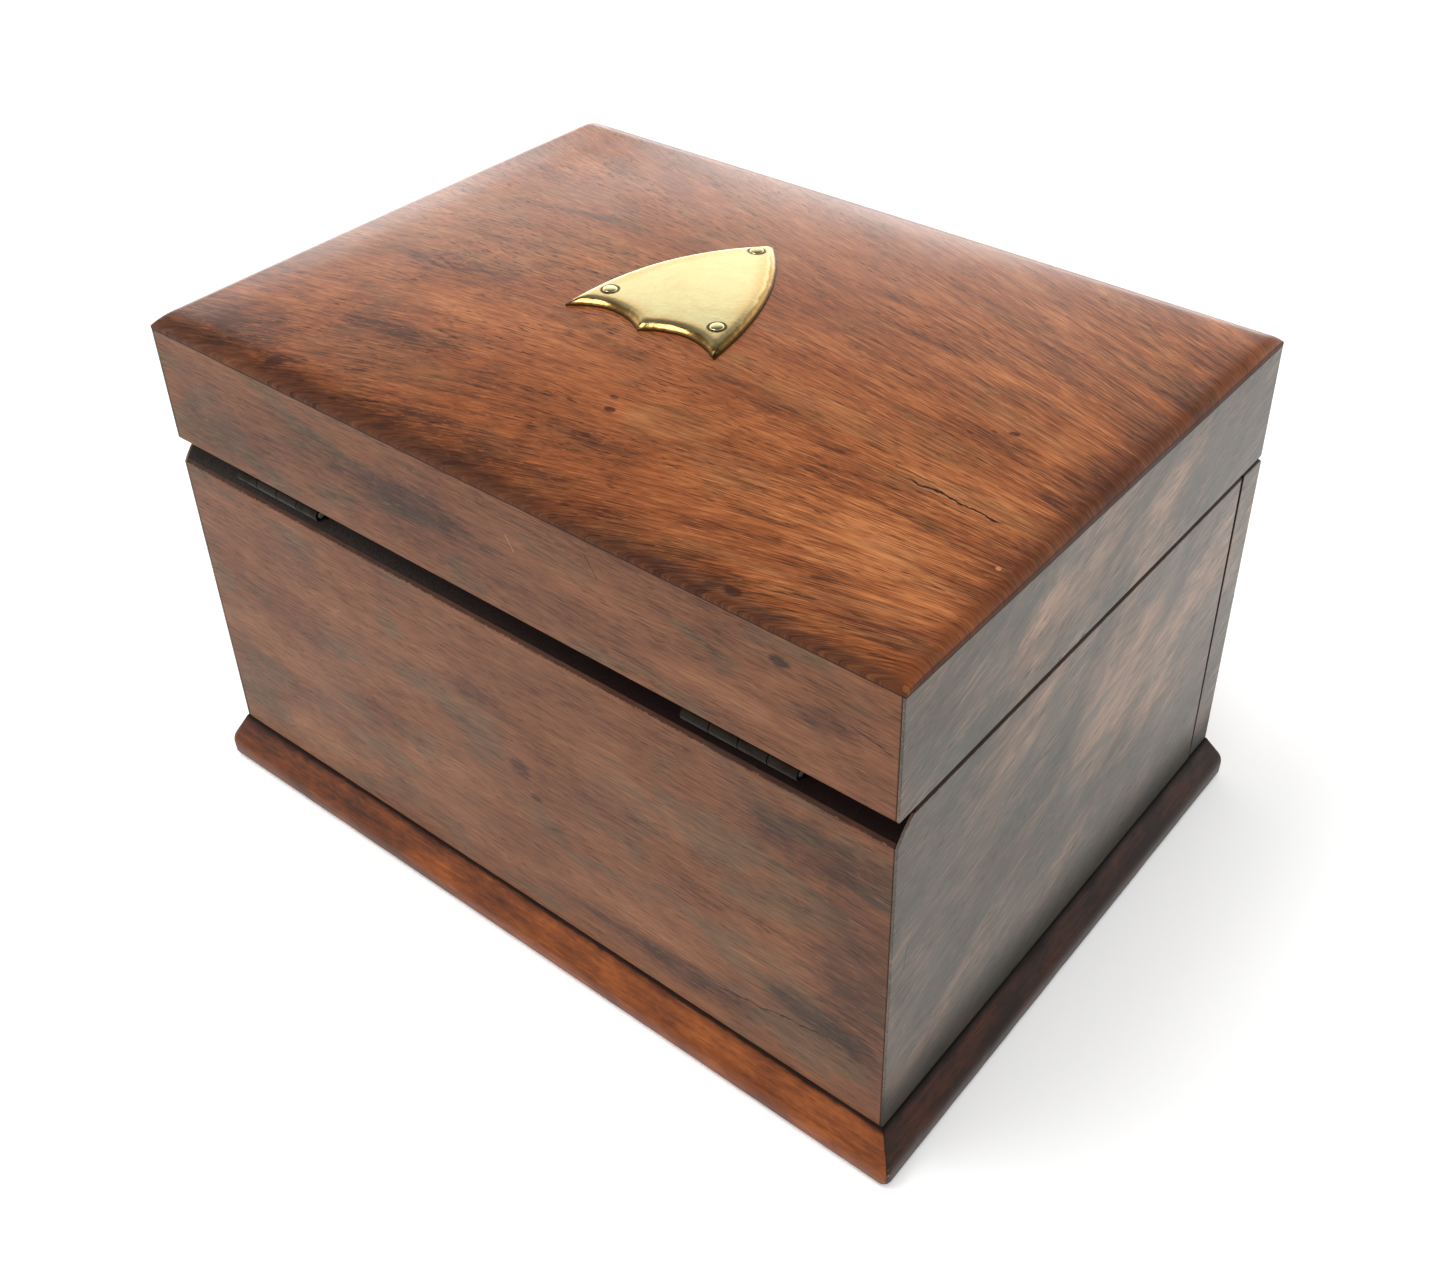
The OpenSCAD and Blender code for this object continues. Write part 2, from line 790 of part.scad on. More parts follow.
module keeper_plate() {
    color("gold")
    difference() {
        box_from([-keeper_w / 2, keeper_y - keeper_d / 2, lid_z],
            [keeper_w / 2, keeper_y + keeper_d / 2, lid_z + lock_sheet]);
        box_from([-bolt_w / 2 - 2 * bolt_clear, keeper_y - bolt_t / 2 - 2 * bolt_clear, lid_z - 1],
            [bolt_w / 2 + 2 * bolt_clear, keeper_y + bolt_t / 2 + 2 * bolt_clear, lid_z + lock_sheet + 1]);
        keeper_screws_at() lock_screw_form(screw_fit);
    }
}

module keeper_screws() {
    color("dimgray")
    keeper_screws_at()
        difference() {
            lock_screw_form(0);
            translate([-lock_screw_head_r, -slot_w / 2, -slot_depth])
                cube([2 * lock_screw_head_r, slot_w, 1]);
        }
}

// ---------- shield ----------

// Outline of the shield, drawn in by inset: its point is towards -Y and its two tips towards +Y
function shield_outline(inset) =
    let (k = 1 - 2 * inset / shield_w, w = shield_w / 2 * k, l = shield_l / 2 * k,
        point = [0, -l], right = [w, l], cusp = [0, l], left = [-w, l])
    concat(most(bow(point, right, shield_side_bow * k, 10)),
        most(bow(right, cusp, -shield_scallop * k, 8)),
        most(bow(cusp, left, -shield_scallop * k, 8)),
        most(bow(left, point, shield_side_bow * k, 10)));

// All points but the last
function most(points) = [for (i = [0 : len(points) - 2]) points[i]];

// Where a place of the shield lies on the lid, turned and moved as the shield was set
function laid(p) = [shield_x + p[0] * cos(shield_turn) - p[1] * sin(shield_turn),
    shield_y + p[0] * sin(shield_turn) + p[1] * cos(shield_turn)];

// One ring of the shield: drawn in by inset, at a height over the dome
function shield_ring(inset, height) =
    [for (p = shield_outline(inset)) let (q = laid(p)) [q[0], q[1], rim_z + dome(q[0], q[1]) + height]];

shield_rings = [[0, shield_edge], [1.2, shield_t - 0.7], [3.2, shield_t - 0.15], [9, shield_t]];
shield_low = rim_z + crown_h - shield_depth;

module shield_body() {
    low = [for (p = shield_outline(0)) let (q = laid(p)) [q[0], q[1], shield_low]];
    n = len(low);
    points = concat(low, [for (r = shield_rings) each shield_ring(r[0], r[1])],
        [[shield_x, shield_y, shield_low],
            [shield_x, shield_y, rim_z + dome(shield_x, shield_y) + shield_t]]);
    rings = len(shield_rings);
    sides = [for (r = [0 : rings - 1]) for (i = [0 : n - 1])
        let (p = r * n + i, q = r * n + (i + 1) % n)
        each [[p, p + n, q + n], [p, q + n, q]]];
    lower = [for (i = [0 : n - 1]) [i, (i + 1) % n, (rings + 1) * n]];
    upper = [for (i = [0 : n - 1]) [rings * n + (i + 1) % n, rings * n + i, (rings + 1) * n + 1]];
    polyhedron(points, concat(sides, lower, upper));
}

// The middle of the dome, cut along the same lines as the lid's veneer
module under_shield() {
    reach = shield_l / 2 + shield_over;
    dome_slab([for (x = outer_xs) if (abs(x) < reach) x],
        [for (y = outer_ys) if (abs(y) < reach) y], 0, shield_low - shield_depth);
}

module shield_plate() {
    color("gold")
    difference() {
        shield_body();
        under_shield();
        shield_pins_placed() {
            shield_pin_stem(screw_fit);
            cylinder(h = 4, r = shield_pin_r + screw_fit);
        }
    }
}

module shield_pins_placed() {
    for (p = shield_pins_at)
        let (q = laid(p))
            translate([q[0], q[1], rim_z + dome(q[0], q[1]) + shield_t - shield_pin_seat])
                children();
}

module shield_pin_stem(fit) {
    translate([0, 0, -shield_pin_stem_l])
        cylinder(h = shield_pin_stem_l + eps, r = shield_pin_stem_r + fit);
}

module shield_pins() {
    color("khaki")
    shield_pins_placed() {
        shield_pin_stem(0);
        cylinder(h = shield_pin_h + shield_pin_seat, r1 = shield_pin_r, r2 = shield_pin_r * 0.8);
    }
}

rear_board();
left_board();
right_board();
floor_board();
floor_cloth();
rear_veneer();
left_veneer();
right_veneer();
plinth_rear();
plinth_front();
plinth_left();
plinth_right();
left_hinge_body_leaf();
right_hinge_body_leaf();
left_hinge_pin();
right_hinge_pin();
hinge_body_screws();
left_fall_hinge_base_leaf();
right_fall_hinge_base_leaf();
left_fall_hinge_pin();
right_fall_hinge_pin();
fall_hinge_base_screws();
fall_board();
fall_veneer();
fall_left_end_veneer();
fall_right_end_veneer();
left_fall_hinge_leaf();
right_fall_hinge_leaf();
fall_hinge_screws();
lock_case();
lock_cap();
lock_pin();
lock_screws();
keyhole_escutcheon();
lock_bolt();
lid_board();
lid_rear_rail();
lid_front_rail();
lid_left_rail();
lid_right_rail();
lid_top_veneer();
lid_rear_veneer();
lid_front_veneer();
lid_left_veneer();
lid_right_veneer();
left_hinge_lid_leaf();
right_hinge_lid_leaf();
hinge_lid_screws();
keeper_plate();
keeper_screws();
shield_plate();
shield_pins();
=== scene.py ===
import bpy
import bmesh
import json
import math
import random
import numpy as np
from mathutils import Matrix, Vector
from mathutils.geometry import delaunay_2d_cdt

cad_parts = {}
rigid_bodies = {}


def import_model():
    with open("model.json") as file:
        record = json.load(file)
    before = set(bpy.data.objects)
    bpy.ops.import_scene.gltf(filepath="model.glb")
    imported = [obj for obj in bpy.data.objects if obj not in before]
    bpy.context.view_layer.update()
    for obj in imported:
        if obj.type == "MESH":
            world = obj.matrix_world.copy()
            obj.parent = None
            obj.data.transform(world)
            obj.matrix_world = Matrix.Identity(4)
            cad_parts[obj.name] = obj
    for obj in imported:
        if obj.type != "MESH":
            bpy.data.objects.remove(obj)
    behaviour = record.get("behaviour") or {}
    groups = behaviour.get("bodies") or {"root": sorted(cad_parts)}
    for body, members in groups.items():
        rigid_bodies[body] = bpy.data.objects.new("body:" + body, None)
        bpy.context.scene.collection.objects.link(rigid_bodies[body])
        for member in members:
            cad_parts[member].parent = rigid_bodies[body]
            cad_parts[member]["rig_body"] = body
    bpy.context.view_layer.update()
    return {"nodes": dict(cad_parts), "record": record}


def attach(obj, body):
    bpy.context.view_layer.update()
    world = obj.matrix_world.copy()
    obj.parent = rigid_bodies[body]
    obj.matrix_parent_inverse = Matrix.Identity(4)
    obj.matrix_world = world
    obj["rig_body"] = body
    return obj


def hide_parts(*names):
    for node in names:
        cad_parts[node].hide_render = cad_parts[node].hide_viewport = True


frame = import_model()
nodes = frame["nodes"]
print("frame loaded:", len(nodes), "nodes")

# sizes of the box that the pieces below share, in metres
box = {
    "halfWidth": 0.140,
    "halfDepth": 0.100,
    "plinthTop": 0.018,
    "bodyTop": 0.137,
    "lidBottom": 0.1374,
    "rim": 0.1779,
    "veneer": 0.0009,
    "crown": 0.0145,
    "rollHeight": 0.0028,
    "rollWidth": 0.008,          # at the front and rear
    "endRoll": 0.0035,           # at the two ends
}
mm = {key: size * 1000 for key, size in box.items()}      # the same sizes for the finishes, which work in mm
lean = math.radians(0.44)                                 # of the closed fall front


class Wire:
    # an output of a node, which can be reckoned with like a number
    def __init__(self, tree, socket):
        self.tree = tree
        self.socket = socket

    def math(self, operation, *values):
        return self.tree.node("ShaderNodeMath", {"operation": operation}, dict(enumerate(values)))

    def __add__(self, other):
        return self.math("ADD", self, other)

    def __mul__(self, other):
        return self.math("MULTIPLY", self, other)

    def __sub__(self, other):
        return self.math("SUBTRACT", self, other)

    def __rsub__(self, other):
        return self.math("SUBTRACT", other, self)

    def __truediv__(self, other):
        return self.math("DIVIDE", self, other)

    def most(self, other):
        return self.math("MAXIMUM", self, other)

    def least(self, other):
        return self.math("MINIMUM", self, other)

    def absolute(self):
        return self.math("ABSOLUTE", self)

    __radd__ = __add__
    __rmul__ = __mul__


class Tree:
    def __init__(self, nodeTree):
        self.nodes = nodeTree.nodes
        self.links = nodeTree.links
        self.nodes.clear()

    def put(self, socket, value):
        if isinstance(value, Wire):
            self.links.new(value.socket, socket)
        elif isinstance(value, (tuple, list)) and len(value) == 3 and socket.type == "RGBA":
            socket.default_value = (*value, 1)
        else:
            socket.default_value = value

    def node(self, kind, settings=None, inputs=None, out=0):
        made = self.nodes.new(kind)
        for key, value in (settings or {}).items():
            setattr(made, key, value)
        for key, value in (inputs or {}).items():
            self.put(made.inputs[key], value)
        return Wire(self, made.outputs[out] if made.outputs else None)

    def place(self, x=0.0, y=0.0, z=0.0):
        return self.node("ShaderNodeCombineXYZ", None, {0: x, 1: y, 2: z})


class Shading(Tree):
    def vector(self, operation, first, second=None, scale=None):
        inputs = {0: first}
        if second is not None:
            inputs[1] = second
        if scale is not None:
            inputs["Scale"] = scale
        out = "Value" if operation in ("LENGTH", "DISTANCE", "DOT_PRODUCT") else "Vector"
        return self.node("ShaderNodeVectorMath", {"operation": operation}, inputs, out)

    def turn(self, vector, angle, axis):
        return self.node("ShaderNodeVectorRotate", {"rotation_type": axis + "_AXIS"},
                         {"Vector": vector, "Angle": math.radians(angle)})

    def noise(self, vector, sizes, detail=2, rough=0.5, distortion=0):
        # sizes say how often it changes per mm, as one number or along each axis
        if isinstance(sizes, tuple):
            scaled = self.vector("MULTIPLY", vector, sizes)
        else:
            scaled = self.vector("SCALE", vector, scale=sizes)
        return self.node("ShaderNodeTexNoise", None, {"Vector": scaled, "Scale": 1, "Detail": detail,
                                                     "Roughness": rough, "Distortion": distortion})

    def ease(self, value, low, high, toLow=0, toHigh=1):
        return self.node("ShaderNodeMapRange", {"interpolation_type": "SMOOTHSTEP"},
                         {0: value, 1: low, 2: high, 3: toLow, 4: toHigh})

    def ramp(self, value, stops, interpolation="LINEAR"):
        made = self.node("ShaderNodeValToRGB", None, {0: value})
        ramp = made.socket.node.color_ramp
        ramp.interpolation = interpolation
        while len(ramp.elements) < len(stops):
            ramp.elements.new(0.5)
        for element, (place, colour) in zip(ramp.elements, stops):
            element.position = place
            element.color = (*colour, 1)
        return made

    def mix(self, factor, first, second, blend="MIX"):
        return self.node("ShaderNodeMix", {"data_type": "RGBA", "blend_type": blend},
                         {0: factor, 6: first, 7: second}, 2)

    def parts(self, vector):
        split = self.nodes.new("ShaderNodeSeparateXYZ")
        self.put(split.inputs[0], vector)
        return [Wire(self, socket) for socket in split.outputs]

    def bump(self, height, distance, strength):
        return self.node("ShaderNodeBump", None, {"Strength": strength, "Distance": distance,
                                                 "Height": height})

    def mixShader(self, factor, first, second):
        return self.node("ShaderNodeMixShader", None, {0: factor, 1: first, 2: second})


class Finish(Shading):
    def __init__(self, name):
        self.material = bpy.data.materials.new(name)
        self.material.use_nodes = True
        super().__init__(self.material.node_tree)
        self.point = self.vector("SCALE", self.node("ShaderNodeTexCoord", out="Object"), scale=1000)   # in mm

    def patch(self, sizes, detail=3, rough=0.6, distortion=0):
        return self.noise(self.point, sizes, detail, rough, distortion)

    def spot(self, centre, radii, angle, axis, wobble, soft):
        # a soft oval mark about a place in mm; radii are along and across it
        local = self.vector("SUBTRACT", self.point, centre)
        if angle:
            local = self.turn(local, -angle, axis)
        reach = self.vector("LENGTH", self.vector("DIVIDE", local, radii))
        return self.ease(reach + wobble, 1, 1 - soft)

    def band(self, value, name):
        low, high, strength = bands[name]
        return self.ease(value, low, high) * strength

    def outward(self, x, y):
        # how far a place lies beyond the wall lines
        return (x.absolute() - mm["halfWidth"]).most(y.absolute() - mm["halfDepth"])

    def surface(self, shader):
        self.node("ShaderNodeOutputMaterial", None, {0: shader})
        return self.material

    def finish(self, sockets):
        return self.surface(self.node("ShaderNodeBsdfPrincipled", None, sockets))


def dimmed(colour, share):
    return tuple(c * share for c in colour)


darkTones = {
    "dirt": (0.060, 0.032, 0.012),
    "edge": (0.020, 0.0062, 0.0035),
    "crack": (0.012, 0.006, 0.004),
    "crevice": (0.006, 0.003, 0.002),
    "grit": (0.004, 0.002, 0.002),
}

veneerLook = {
    "turn": (0, "Z"),            # how far the grain is turned from the X axis
    "dark": (0.075, 0.020, 0.008),
    "mid": (0.285, 0.084, 0.026),
    "light": (0.500, 0.190, 0.070),
    "olive": (0.150, 0.082, 0.034),
    "oliveShare": 0.3,
    "fan": 0,                    # how fast the growth lines spread, per mm
    "sway": 8,                   # mm
    "cloudSize": (75, 22),       # mm along and across the grain
    "cloudTurn": 0,
    "foot": 0,                   # how much painted shade darkens it just over the plinth, and how much duller its coat is there
    "footShadeBand": (46, 21),        # mm over the floor, from where to where the painted shade darkens it
    "cloud": 0.6,
    "ribbon": 0.3,
    "streak": 0.5,
    "fibre": 0.8,
    "hair": 0.45,
    "open": 0,                   # how much stronger the grain is towards the -X end
    "openBand": (-30, -105),
    "calmBand": (-132, -138),    # where it falls quiet again at the very end
    "pore": 0.85,
    "fleck": 0.3,
    "coat": 0.5,
    "coatRoughness": 0.14,
    "roughness": 0.45,
    "seed": 0,
    "edges": None,               # where the edges show dark: dark lines, and on the lid painted shade along the rear edge
    "worn": None,                # where the polish has gone
    "marks": [],                 # soft dark or light marks, in mm
    "cracks": [],                # fine lines, in mm
}


def veneerFinish(name, **changes):
    look = {**veneerLook, **changes}
    tree = Finish(name)
    x, y, z = tree.parts(tree.point)
    p = tree.vector("ADD", tree.point, (look["seed"] * 37.0, look["seed"] * 53.0, look["seed"] * 71.0))
    angle, axis = look["turn"]
    if axis == "X":
        p = tree.turn(tree.turn(p, angle, "X"), 90, "Z")
    if look["fan"]:
        # the growth lines spread from one end towards the other
        along, across, deep = tree.parts(p)
        spread = along.math("EXPONENT", along * -look["fan"])
        p = tree.place(along, (across - 25) * spread, deep * 0.0)
    sway = tree.noise(p, (0.008, 0.02, 0.02), 2)
    swayed = tree.vector("ADD", p, tree.vector("SCALE", tree.place(0.0, sway, sway), scale=look["sway"]))

    def grain(along, across, detail=2, rough=0.5, distortion=0):
        return tree.noise(swayed, (1 / along, 1 / across, 1 / across), detail, rough, distortion)

    long, wide = look["cloudSize"]
    leaning = tree.turn(swayed, look["cloudTurn"], "Y") if look["cloudTurn"] else swayed
    cloud = tree.noise(leaning, (1 / long, 1 / wide, 1 / wide), 3, 0.55, 0.5)
    ribbon = grain(17, 8, 2, 0.5, 0.8)
    streak = grain(45, 1.9, 3, 0.6)
    fibre = grain(10, 0.55, 2, 0.6)
    hair = grain(7, 0.26, 1)
    pore = tree.ease(grain(5.0, 0.42, 1), 0.57, 0.70) * tree.ease(grain(26, 9), 0.30, 0.62)
    fleck = tree.ease(grain(3.2, 0.5, 1), 0.60, 0.74)
    olive = tree.ease(grain(38, 15, 2, 0.55, 0.6), 0.47, 0.66)

    tone = ((cloud - 0.5) * look["cloud"] + (ribbon - 0.5) * look["ribbon"] + (streak - 0.5) * look["streak"]
            + (fibre - 0.5) * look["fibre"] + (hair - 0.5) * look["hair"])
    if look["open"]:
        tone = tone * (tree.ease(x, *look["openBand"]) * look["open"] + 1 - tree.ease(x, *look["calmBand"]))
    tone = tone + 0.5
    ragged = grain(7, 1.6, 3, 0.65) - 0.5
    for each in look["marks"]:
        wobble = ragged * each["ragged"]
        spot = tree.spot(each["at"], each["reach"], each["turn"], each["axis"], wobble, each["soft"])
        tone = tone + spot * each["shade"]
    colour = tree.ramp(tone, [(0.08, look["dark"]), (0.5, look["mid"]), (0.92, look["light"])])
    greenish = tree.ramp(tone, [(0.1, dimmed(look["olive"], 0.35)), (0.9, dimmed(look["olive"], 1.9))])
    colour = tree.mix(olive * look["oliveShare"], colour, greenish)
    colour = tree.mix(pore * look["pore"], colour, dimmed(look["dark"], 0.45))
    colour = tree.mix(fleck * look["fleck"], colour, look["light"])
    coat = look["coat"]
    if look["edges"]:
        edge = look["edges"](tree, x, y, z)
        colour = tree.mix(edge, colour, darkTones["edge"])
        coat = (1 - edge) * coat
    if look["worn"]:
        coat = (1 - look["worn"](tree, x, y)) * coat
    height = fibre * 0.35 - pore * 0.9 + streak * 0.25
    for crack in look["cracks"]:
        line = crackLine(tree, crack, x, y, z)
        colour = tree.mix(line * crack.get("depth", 1.0), colour, crack.get("colour", darkTones["crack"]))
        height = height - line * 3
    dull = tree.ease(tree.patch(0.03, 3, 0.5), 0.35, 0.7)
    # painted shade over the plinth, standing in for the dark reflection of the plinth and the shadowed floor
    # beside it
    if look["foot"]:
        foot = tree.ease(z + ragged * 3, *look["footShadeBand"]) * look["foot"]
        colour = tree.mix(foot, colour, dimmed(look["dark"], 0.8))
        coat = (1 - foot * 0.9) * coat
    return tree.finish({
        "Base Color": colour,
        "Roughness": pore * 0.2 + dull * 0.12 + look["roughness"],
        "IOR": 1.45,
        "Specular IOR Level": 0.12,
        "Coat Weight": coat,
        "Coat Roughness": look["coatRoughness"],
        "Coat IOR": 1.48,
        "Normal": tree.bump(height, 0.00006, 0.55),
    })


# bands in mm: from where, to where, and how strong
bands = {
    # painted shade along the lid's rolled rear edge
    "rearRollShade": (93.5, 99.9, 0.74),
    "leftEnd": (-133, -139.5, 0.28),
    "arris": (-0.3, -0.06, 0.75),
    "farMargin": (114, 135, 0.95),
    "frontMargin": (-75, -93, 0.475),
    "wornEnds": (133, 138.5, 0.85),
    "wornRear": (87, 95, 0.85),
    "underTop": (mm["rim"] - 1.45, mm["rim"] - 1.15, 0.85),
    "corner": (-1.35, -1.05, 0.7),
    "sawnEdge": (128.7, 129.0, 0.8),
    "topArris": (135.2, 135.6, 1),
    "seamNear": (-87.75, -87.5, 1),
    "seamFar": (-86.2, -86.45, 1),
    "foot": (18.9, 18.4, 1),
    "belowLid": (mm["bodyTop"] + 0.2, mm["bodyTop"] + 0.1, 1),
}


def lidEdges(tree, x, y, z):
    # painted shade along the rolled rear edge, then the darkened -X end; the sharp arris is dark all round
    ragged = tree.patch((0.05, 0.3, 0.3)) - 0.5
    rear = tree.band(y + ragged * 5 + tree.ease(x, -60, 110) * 2.5, "rearRollShade")
    end = tree.band(x + ragged * 4, "leftEnd")
    return rear.most(end).most(tree.band(tree.outward(x, y), "arris"))


def lidWorn(tree, x, y):
    # the polish is rubbed off at the -X end and the rear, and stands thickest along the far margins
    margin = tree.band(x, "farMargin").most(tree.band(y, "frontMargin"))
    worn = (tree.band(x.absolute(), "wornEnds") * tree.ease(x, 100, 0)).most(tree.band(y, "wornRear"))
    return worn - margin


def wallEdges(tree, x, y, z):
    # glue lines under the lid's top veneer and down the corners, and a worn edge under the sawn chamfer
    corner = tree.band(tree.outward(x, y * 0.0), "corner") * tree.ease(z, 177.0, 176.9)
    chips = tree.patch((0.9, 0.9, 2.0), 2, 0.7)
    sawnEdge = tree.band(z + chips * 1.6, "sawnEdge") * tree.band(z, "belowLid") * tree.ease(y, 95, 96)
    return tree.band(z, "underTop") + corner + sawnEdge


def sideEdges(tree, x, y, z):
    # the bare arris along the top of the body, and both sides of the seam beside the fall front
    rough = (tree.patch(0.8, 3, 0.7) - 0.5) * 1.2
    leaning = (z - mm["plinthTop"]) * math.tan(lean) * tree.ease(y, -86.9, -87.05)
    seamAt = y + leaning + rough * 0.25
    seam = tree.band(seamAt, "seamNear") * tree.band(seamAt, "seamFar")
    upper = (tree.band(z + rough, "topArris") + seam) * tree.band(z, "belowLid")
    return (upper + tree.band(z, "underTop") + tree.band(z + rough * 0.4, "foot")).least(0.92)


def crackLine(tree, crack, x, y, z):
    # a fine line from one place to another on a face, which wanders a little
    across, up = {"top": (x, y), "rear": (x, z), "side": (y, z)}[crack["face"]]
    (a0, b0), (a1, b1) = crack["start"], crack["end"]
    length = math.hypot(a1 - a0, b1 - b0)
    c, d = (a1 - a0) / length, (b1 - b0) / length
    along = ((across - a0) * c + (up - b0) * d) / length
    wander = tree.patch(0.16) - 0.5
    off = ((up - b0) * c - (across - a0) * d + wander * crack["wander"]).absolute()
    ends = tree.ease(along, 0, 0.12) * tree.ease(along, 1, 0.88)
    return tree.ease(off, crack["width"], crack["width"] * 0.35) * ends


carcaseLook = {
    "colour": (0.105, 0.038, 0.019),
    "deep": (0.030, 0.012, 0.008),
    "sawn": (0.0085, 0.0030, 0.0024),
    # painted sheen on the sawn chamfer's +X end
    "sheenGrey": (0.036, 0.029, 0.025),
}


def carcaseFinish(name, look, alongY=False):
    # plain mahogany inside; its sawn chamfer and top edges are dark, rough and bare
    tree = Finish(name)
    x, y, z = tree.parts(tree.point)
    p = tree.turn(tree.point, 90, "Z") if alongY else tree.point
    sway = tree.place(0.0, tree.noise(p, (0.006, 0.015, 0.015), 2))
    p = tree.vector("ADD", p, tree.vector("SCALE", sway, scale=24))
    streak = tree.noise(p, (0.012, 0.28, 0.28), 4, 0.6)
    fibre = tree.noise(p, (0.06, 1.8, 1.8), 3, 0.6)
    pore = tree.ease(tree.noise(p, (0.16, 2.6, 2.6), 1), 0.58, 0.68)
    colour = tree.ramp(streak * 0.7 + fibre * 0.3, [(0.3, look["deep"]), (0.55, look["colour"]),
                                                    (0.8, dimmed(look["colour"], 1.7))])
    colour = tree.mix(pore * 0.7, colour, look["deep"])
    grit = tree.patch(1.3, 4, 0.7)
    kerf = tree.patch((0.9, 0.15, 0.15))
    # at and above the rear chamfer
    bare = tree.ease(y + z, 226.5, 228) * tree.ease(z, 126, 127.5) * tree.band(z, "belowLid")
    # greyer towards +X: painted sheen on the sawn chamfer
    sawn = tree.mix(tree.ease(x, -60, 120), look["sawn"], look["sheenGrey"])
    sawn = tree.mix(tree.ease(grit, 0.75, 0.3) * 0.6, sawn, darkTones["grit"])
    height = fibre * 0.2 - pore * 0.5 + bare * (grit * 2.2 + kerf * 1.6)
    return tree.finish({
        "Base Color": tree.mix(bare, colour, sawn),
        "Roughness": 0.5 + bare * 0.2 + pore * 0.1,
        "IOR": 1.45,
        "Specular IOR Level": 0.05,
        "Coat Weight": 0.2 - bare * 0.2,
        "Coat Roughness": 0.3,
        "Normal": tree.bump(height, 0.00012, 0.8),
    })


plinthLook = {
    "long": {"colour": (0.172, 0.044, 0.010), "deep": (0.055, 0.016, 0.007), "light": (0.330, 0.095, 0.020)},
    "short": {"colour": (0.018, 0.007, 0.004), "deep": (0.006, 0.003, 0.002), "light": (0.064, 0.018, 0.008)},
    "bare": (0.62, 0.42, 0.26),
}


def plinthFinish(name, look, bare, alongY=False):
    tree = Finish(name)
    p = tree.turn(tree.point, 90, "Z") if alongY else tree.point
    x, y, z = tree.parts(tree.point)
    streak = tree.noise(p, (0.014, 0.3, 0.3), 4, 0.6, 0.4)
    fibre = tree.noise(p, (0.06, 1.4, 1.4), 3, 0.6)
    mottle = tree.noise(p, (0.045, 0.10, 0.10), 3, 0.6)
    worm = tree.noise(p, (0.22, 0.7, 0.7), 3, 0.65)
    pore = tree.ease(tree.noise(p, (0.16, 2.2, 2.2), 1), 0.6, 0.72)
    farEnd = tree.ease(x, -60, 130)                      # the far end has darkened more
    tone = (streak - 0.5) * 0.45 + (fibre - 0.5) * 0.45 + (mottle - 0.5) * 1.0 + (worm - 0.5) * 0.5
    tone = tone + 0.54 - farEnd * 0.24
    colour = tree.ramp(tone, [(0.15, look["deep"]), (0.5, look["colour"]), (0.88, look["light"])])
    colour = tree.mix(pore * 0.6, colour, look["deep"])
    # old polish and dirt gather in the crevice against the walls and along the foot
    out = tree.outward(x, y)
    grime = tree.ease(out + (mottle - 0.5) * 2.0, 2.2, 0.0)
    foot = tree.ease(z + (mottle - 0.5) * 3.0, 3.2, 0.4)
    colour = tree.mix(grime * 0.8 + foot * 0.45, colour, dimmed(look["deep"], 0.35))
    crevice = tree.ease(out + (worm - 0.5) * 0.8, 1.2, 0.6)
    colour = tree.mix(crevice * 0.9, colour, darkTones["crevice"])
    # rubbed corners
    corner = tree.ease((x.absolute() - mm["halfWidth"]) + (y.absolute() - mm["halfDepth"]), 9.4, 11.8)
    rub = corner * tree.ease(tree.patch(0.5, 3, 0.5), 0.5, 0.66)
    return tree.finish({
        "Base Color": tree.mix(rub * 0.75, colour, bare),
        "Roughness": 0.36 + grime * 0.3 + rub * 0.2,
        "IOR": 1.45,
        "Specular IOR Level": 0.08,
        "Coat Weight": 0.13 - grime * 0.1 - rub * 0.1,
        "Coat Roughness": 0.25,
        "Coat IOR": 1.45,
        "Normal": tree.bump(fibre * 0.4 - pore * 0.6 + mottle * 0.6, 0.0001, 0.6),
    })


brassLook = {
    "polished": {"colour": (1.0, 0.87, 0.44), "dull": (0.96, 0.68, 0.27), "roughness": 0.12, "tarnish": 0.35},
    "lock": {"colour": (0.72, 0.55, 0.26), "dull": (0.30, 0.20, 0.09), "roughness": 0.28, "tarnish": 0.6},
    "aged": {"colour": (0.020, 0.015, 0.012), "dull": (0.008, 0.006, 0.005), "roughness": 0.5,
             "tarnish": 0.9},
    "warm": (0.90, 0.46, 0.14),
    # the next two colours are the painted shade and the painted highlight on the shield's bevel
    "brown": (0.50, 0.275, 0.080),
    "bevelHighlight": (1.0, 0.83, 0.40),
}


def brassFinish(name, look, marks=None):
    tree = Finish(name)
    cloud = tree.patch(0.11, 4, 0.6, 0.5)
    speck = tree.patch(1.1, 3, 0.65)
    scratch = tree.noise(tree.turn(tree.point, 32, "Z"), (0.12, 5.5, 5.5), 2, 0.6)
    dullness = tree.ease(cloud * 0.7 + speck * 0.3, 0.42, 0.72) * look["tarnish"]
    colour = tree.mix(dullness, look["colour"], look["dull"])
    rough = look["roughness"] + dullness * 0.2 + tree.ease(scratch, 0.55, 0.75) * 0.06
    if marks:
        dirt, warm, brown, bevelHighlight = marks(tree)
        colour = tree.mix(warm, colour, brassLook["warm"])
        # painted shade and a painted highlight on the bevel, where the marks give them
        colour = tree.mix(brown, colour, brassLook["brown"])
        colour = tree.mix(bevelHighlight, colour, brassLook["bevelHighlight"])
        colour = tree.mix(dirt, colour, darkTones["dirt"])
        rough = rough + dirt * 0.25
    return tree.finish({
        "Base Color": colour,
        "Metallic": 1.0,
        "Roughness": rough,
        "Normal": tree.bump(scratch * 0.25 + cloud * 4.0 + speck * 0.2, 0.00005, 0.45),
    })


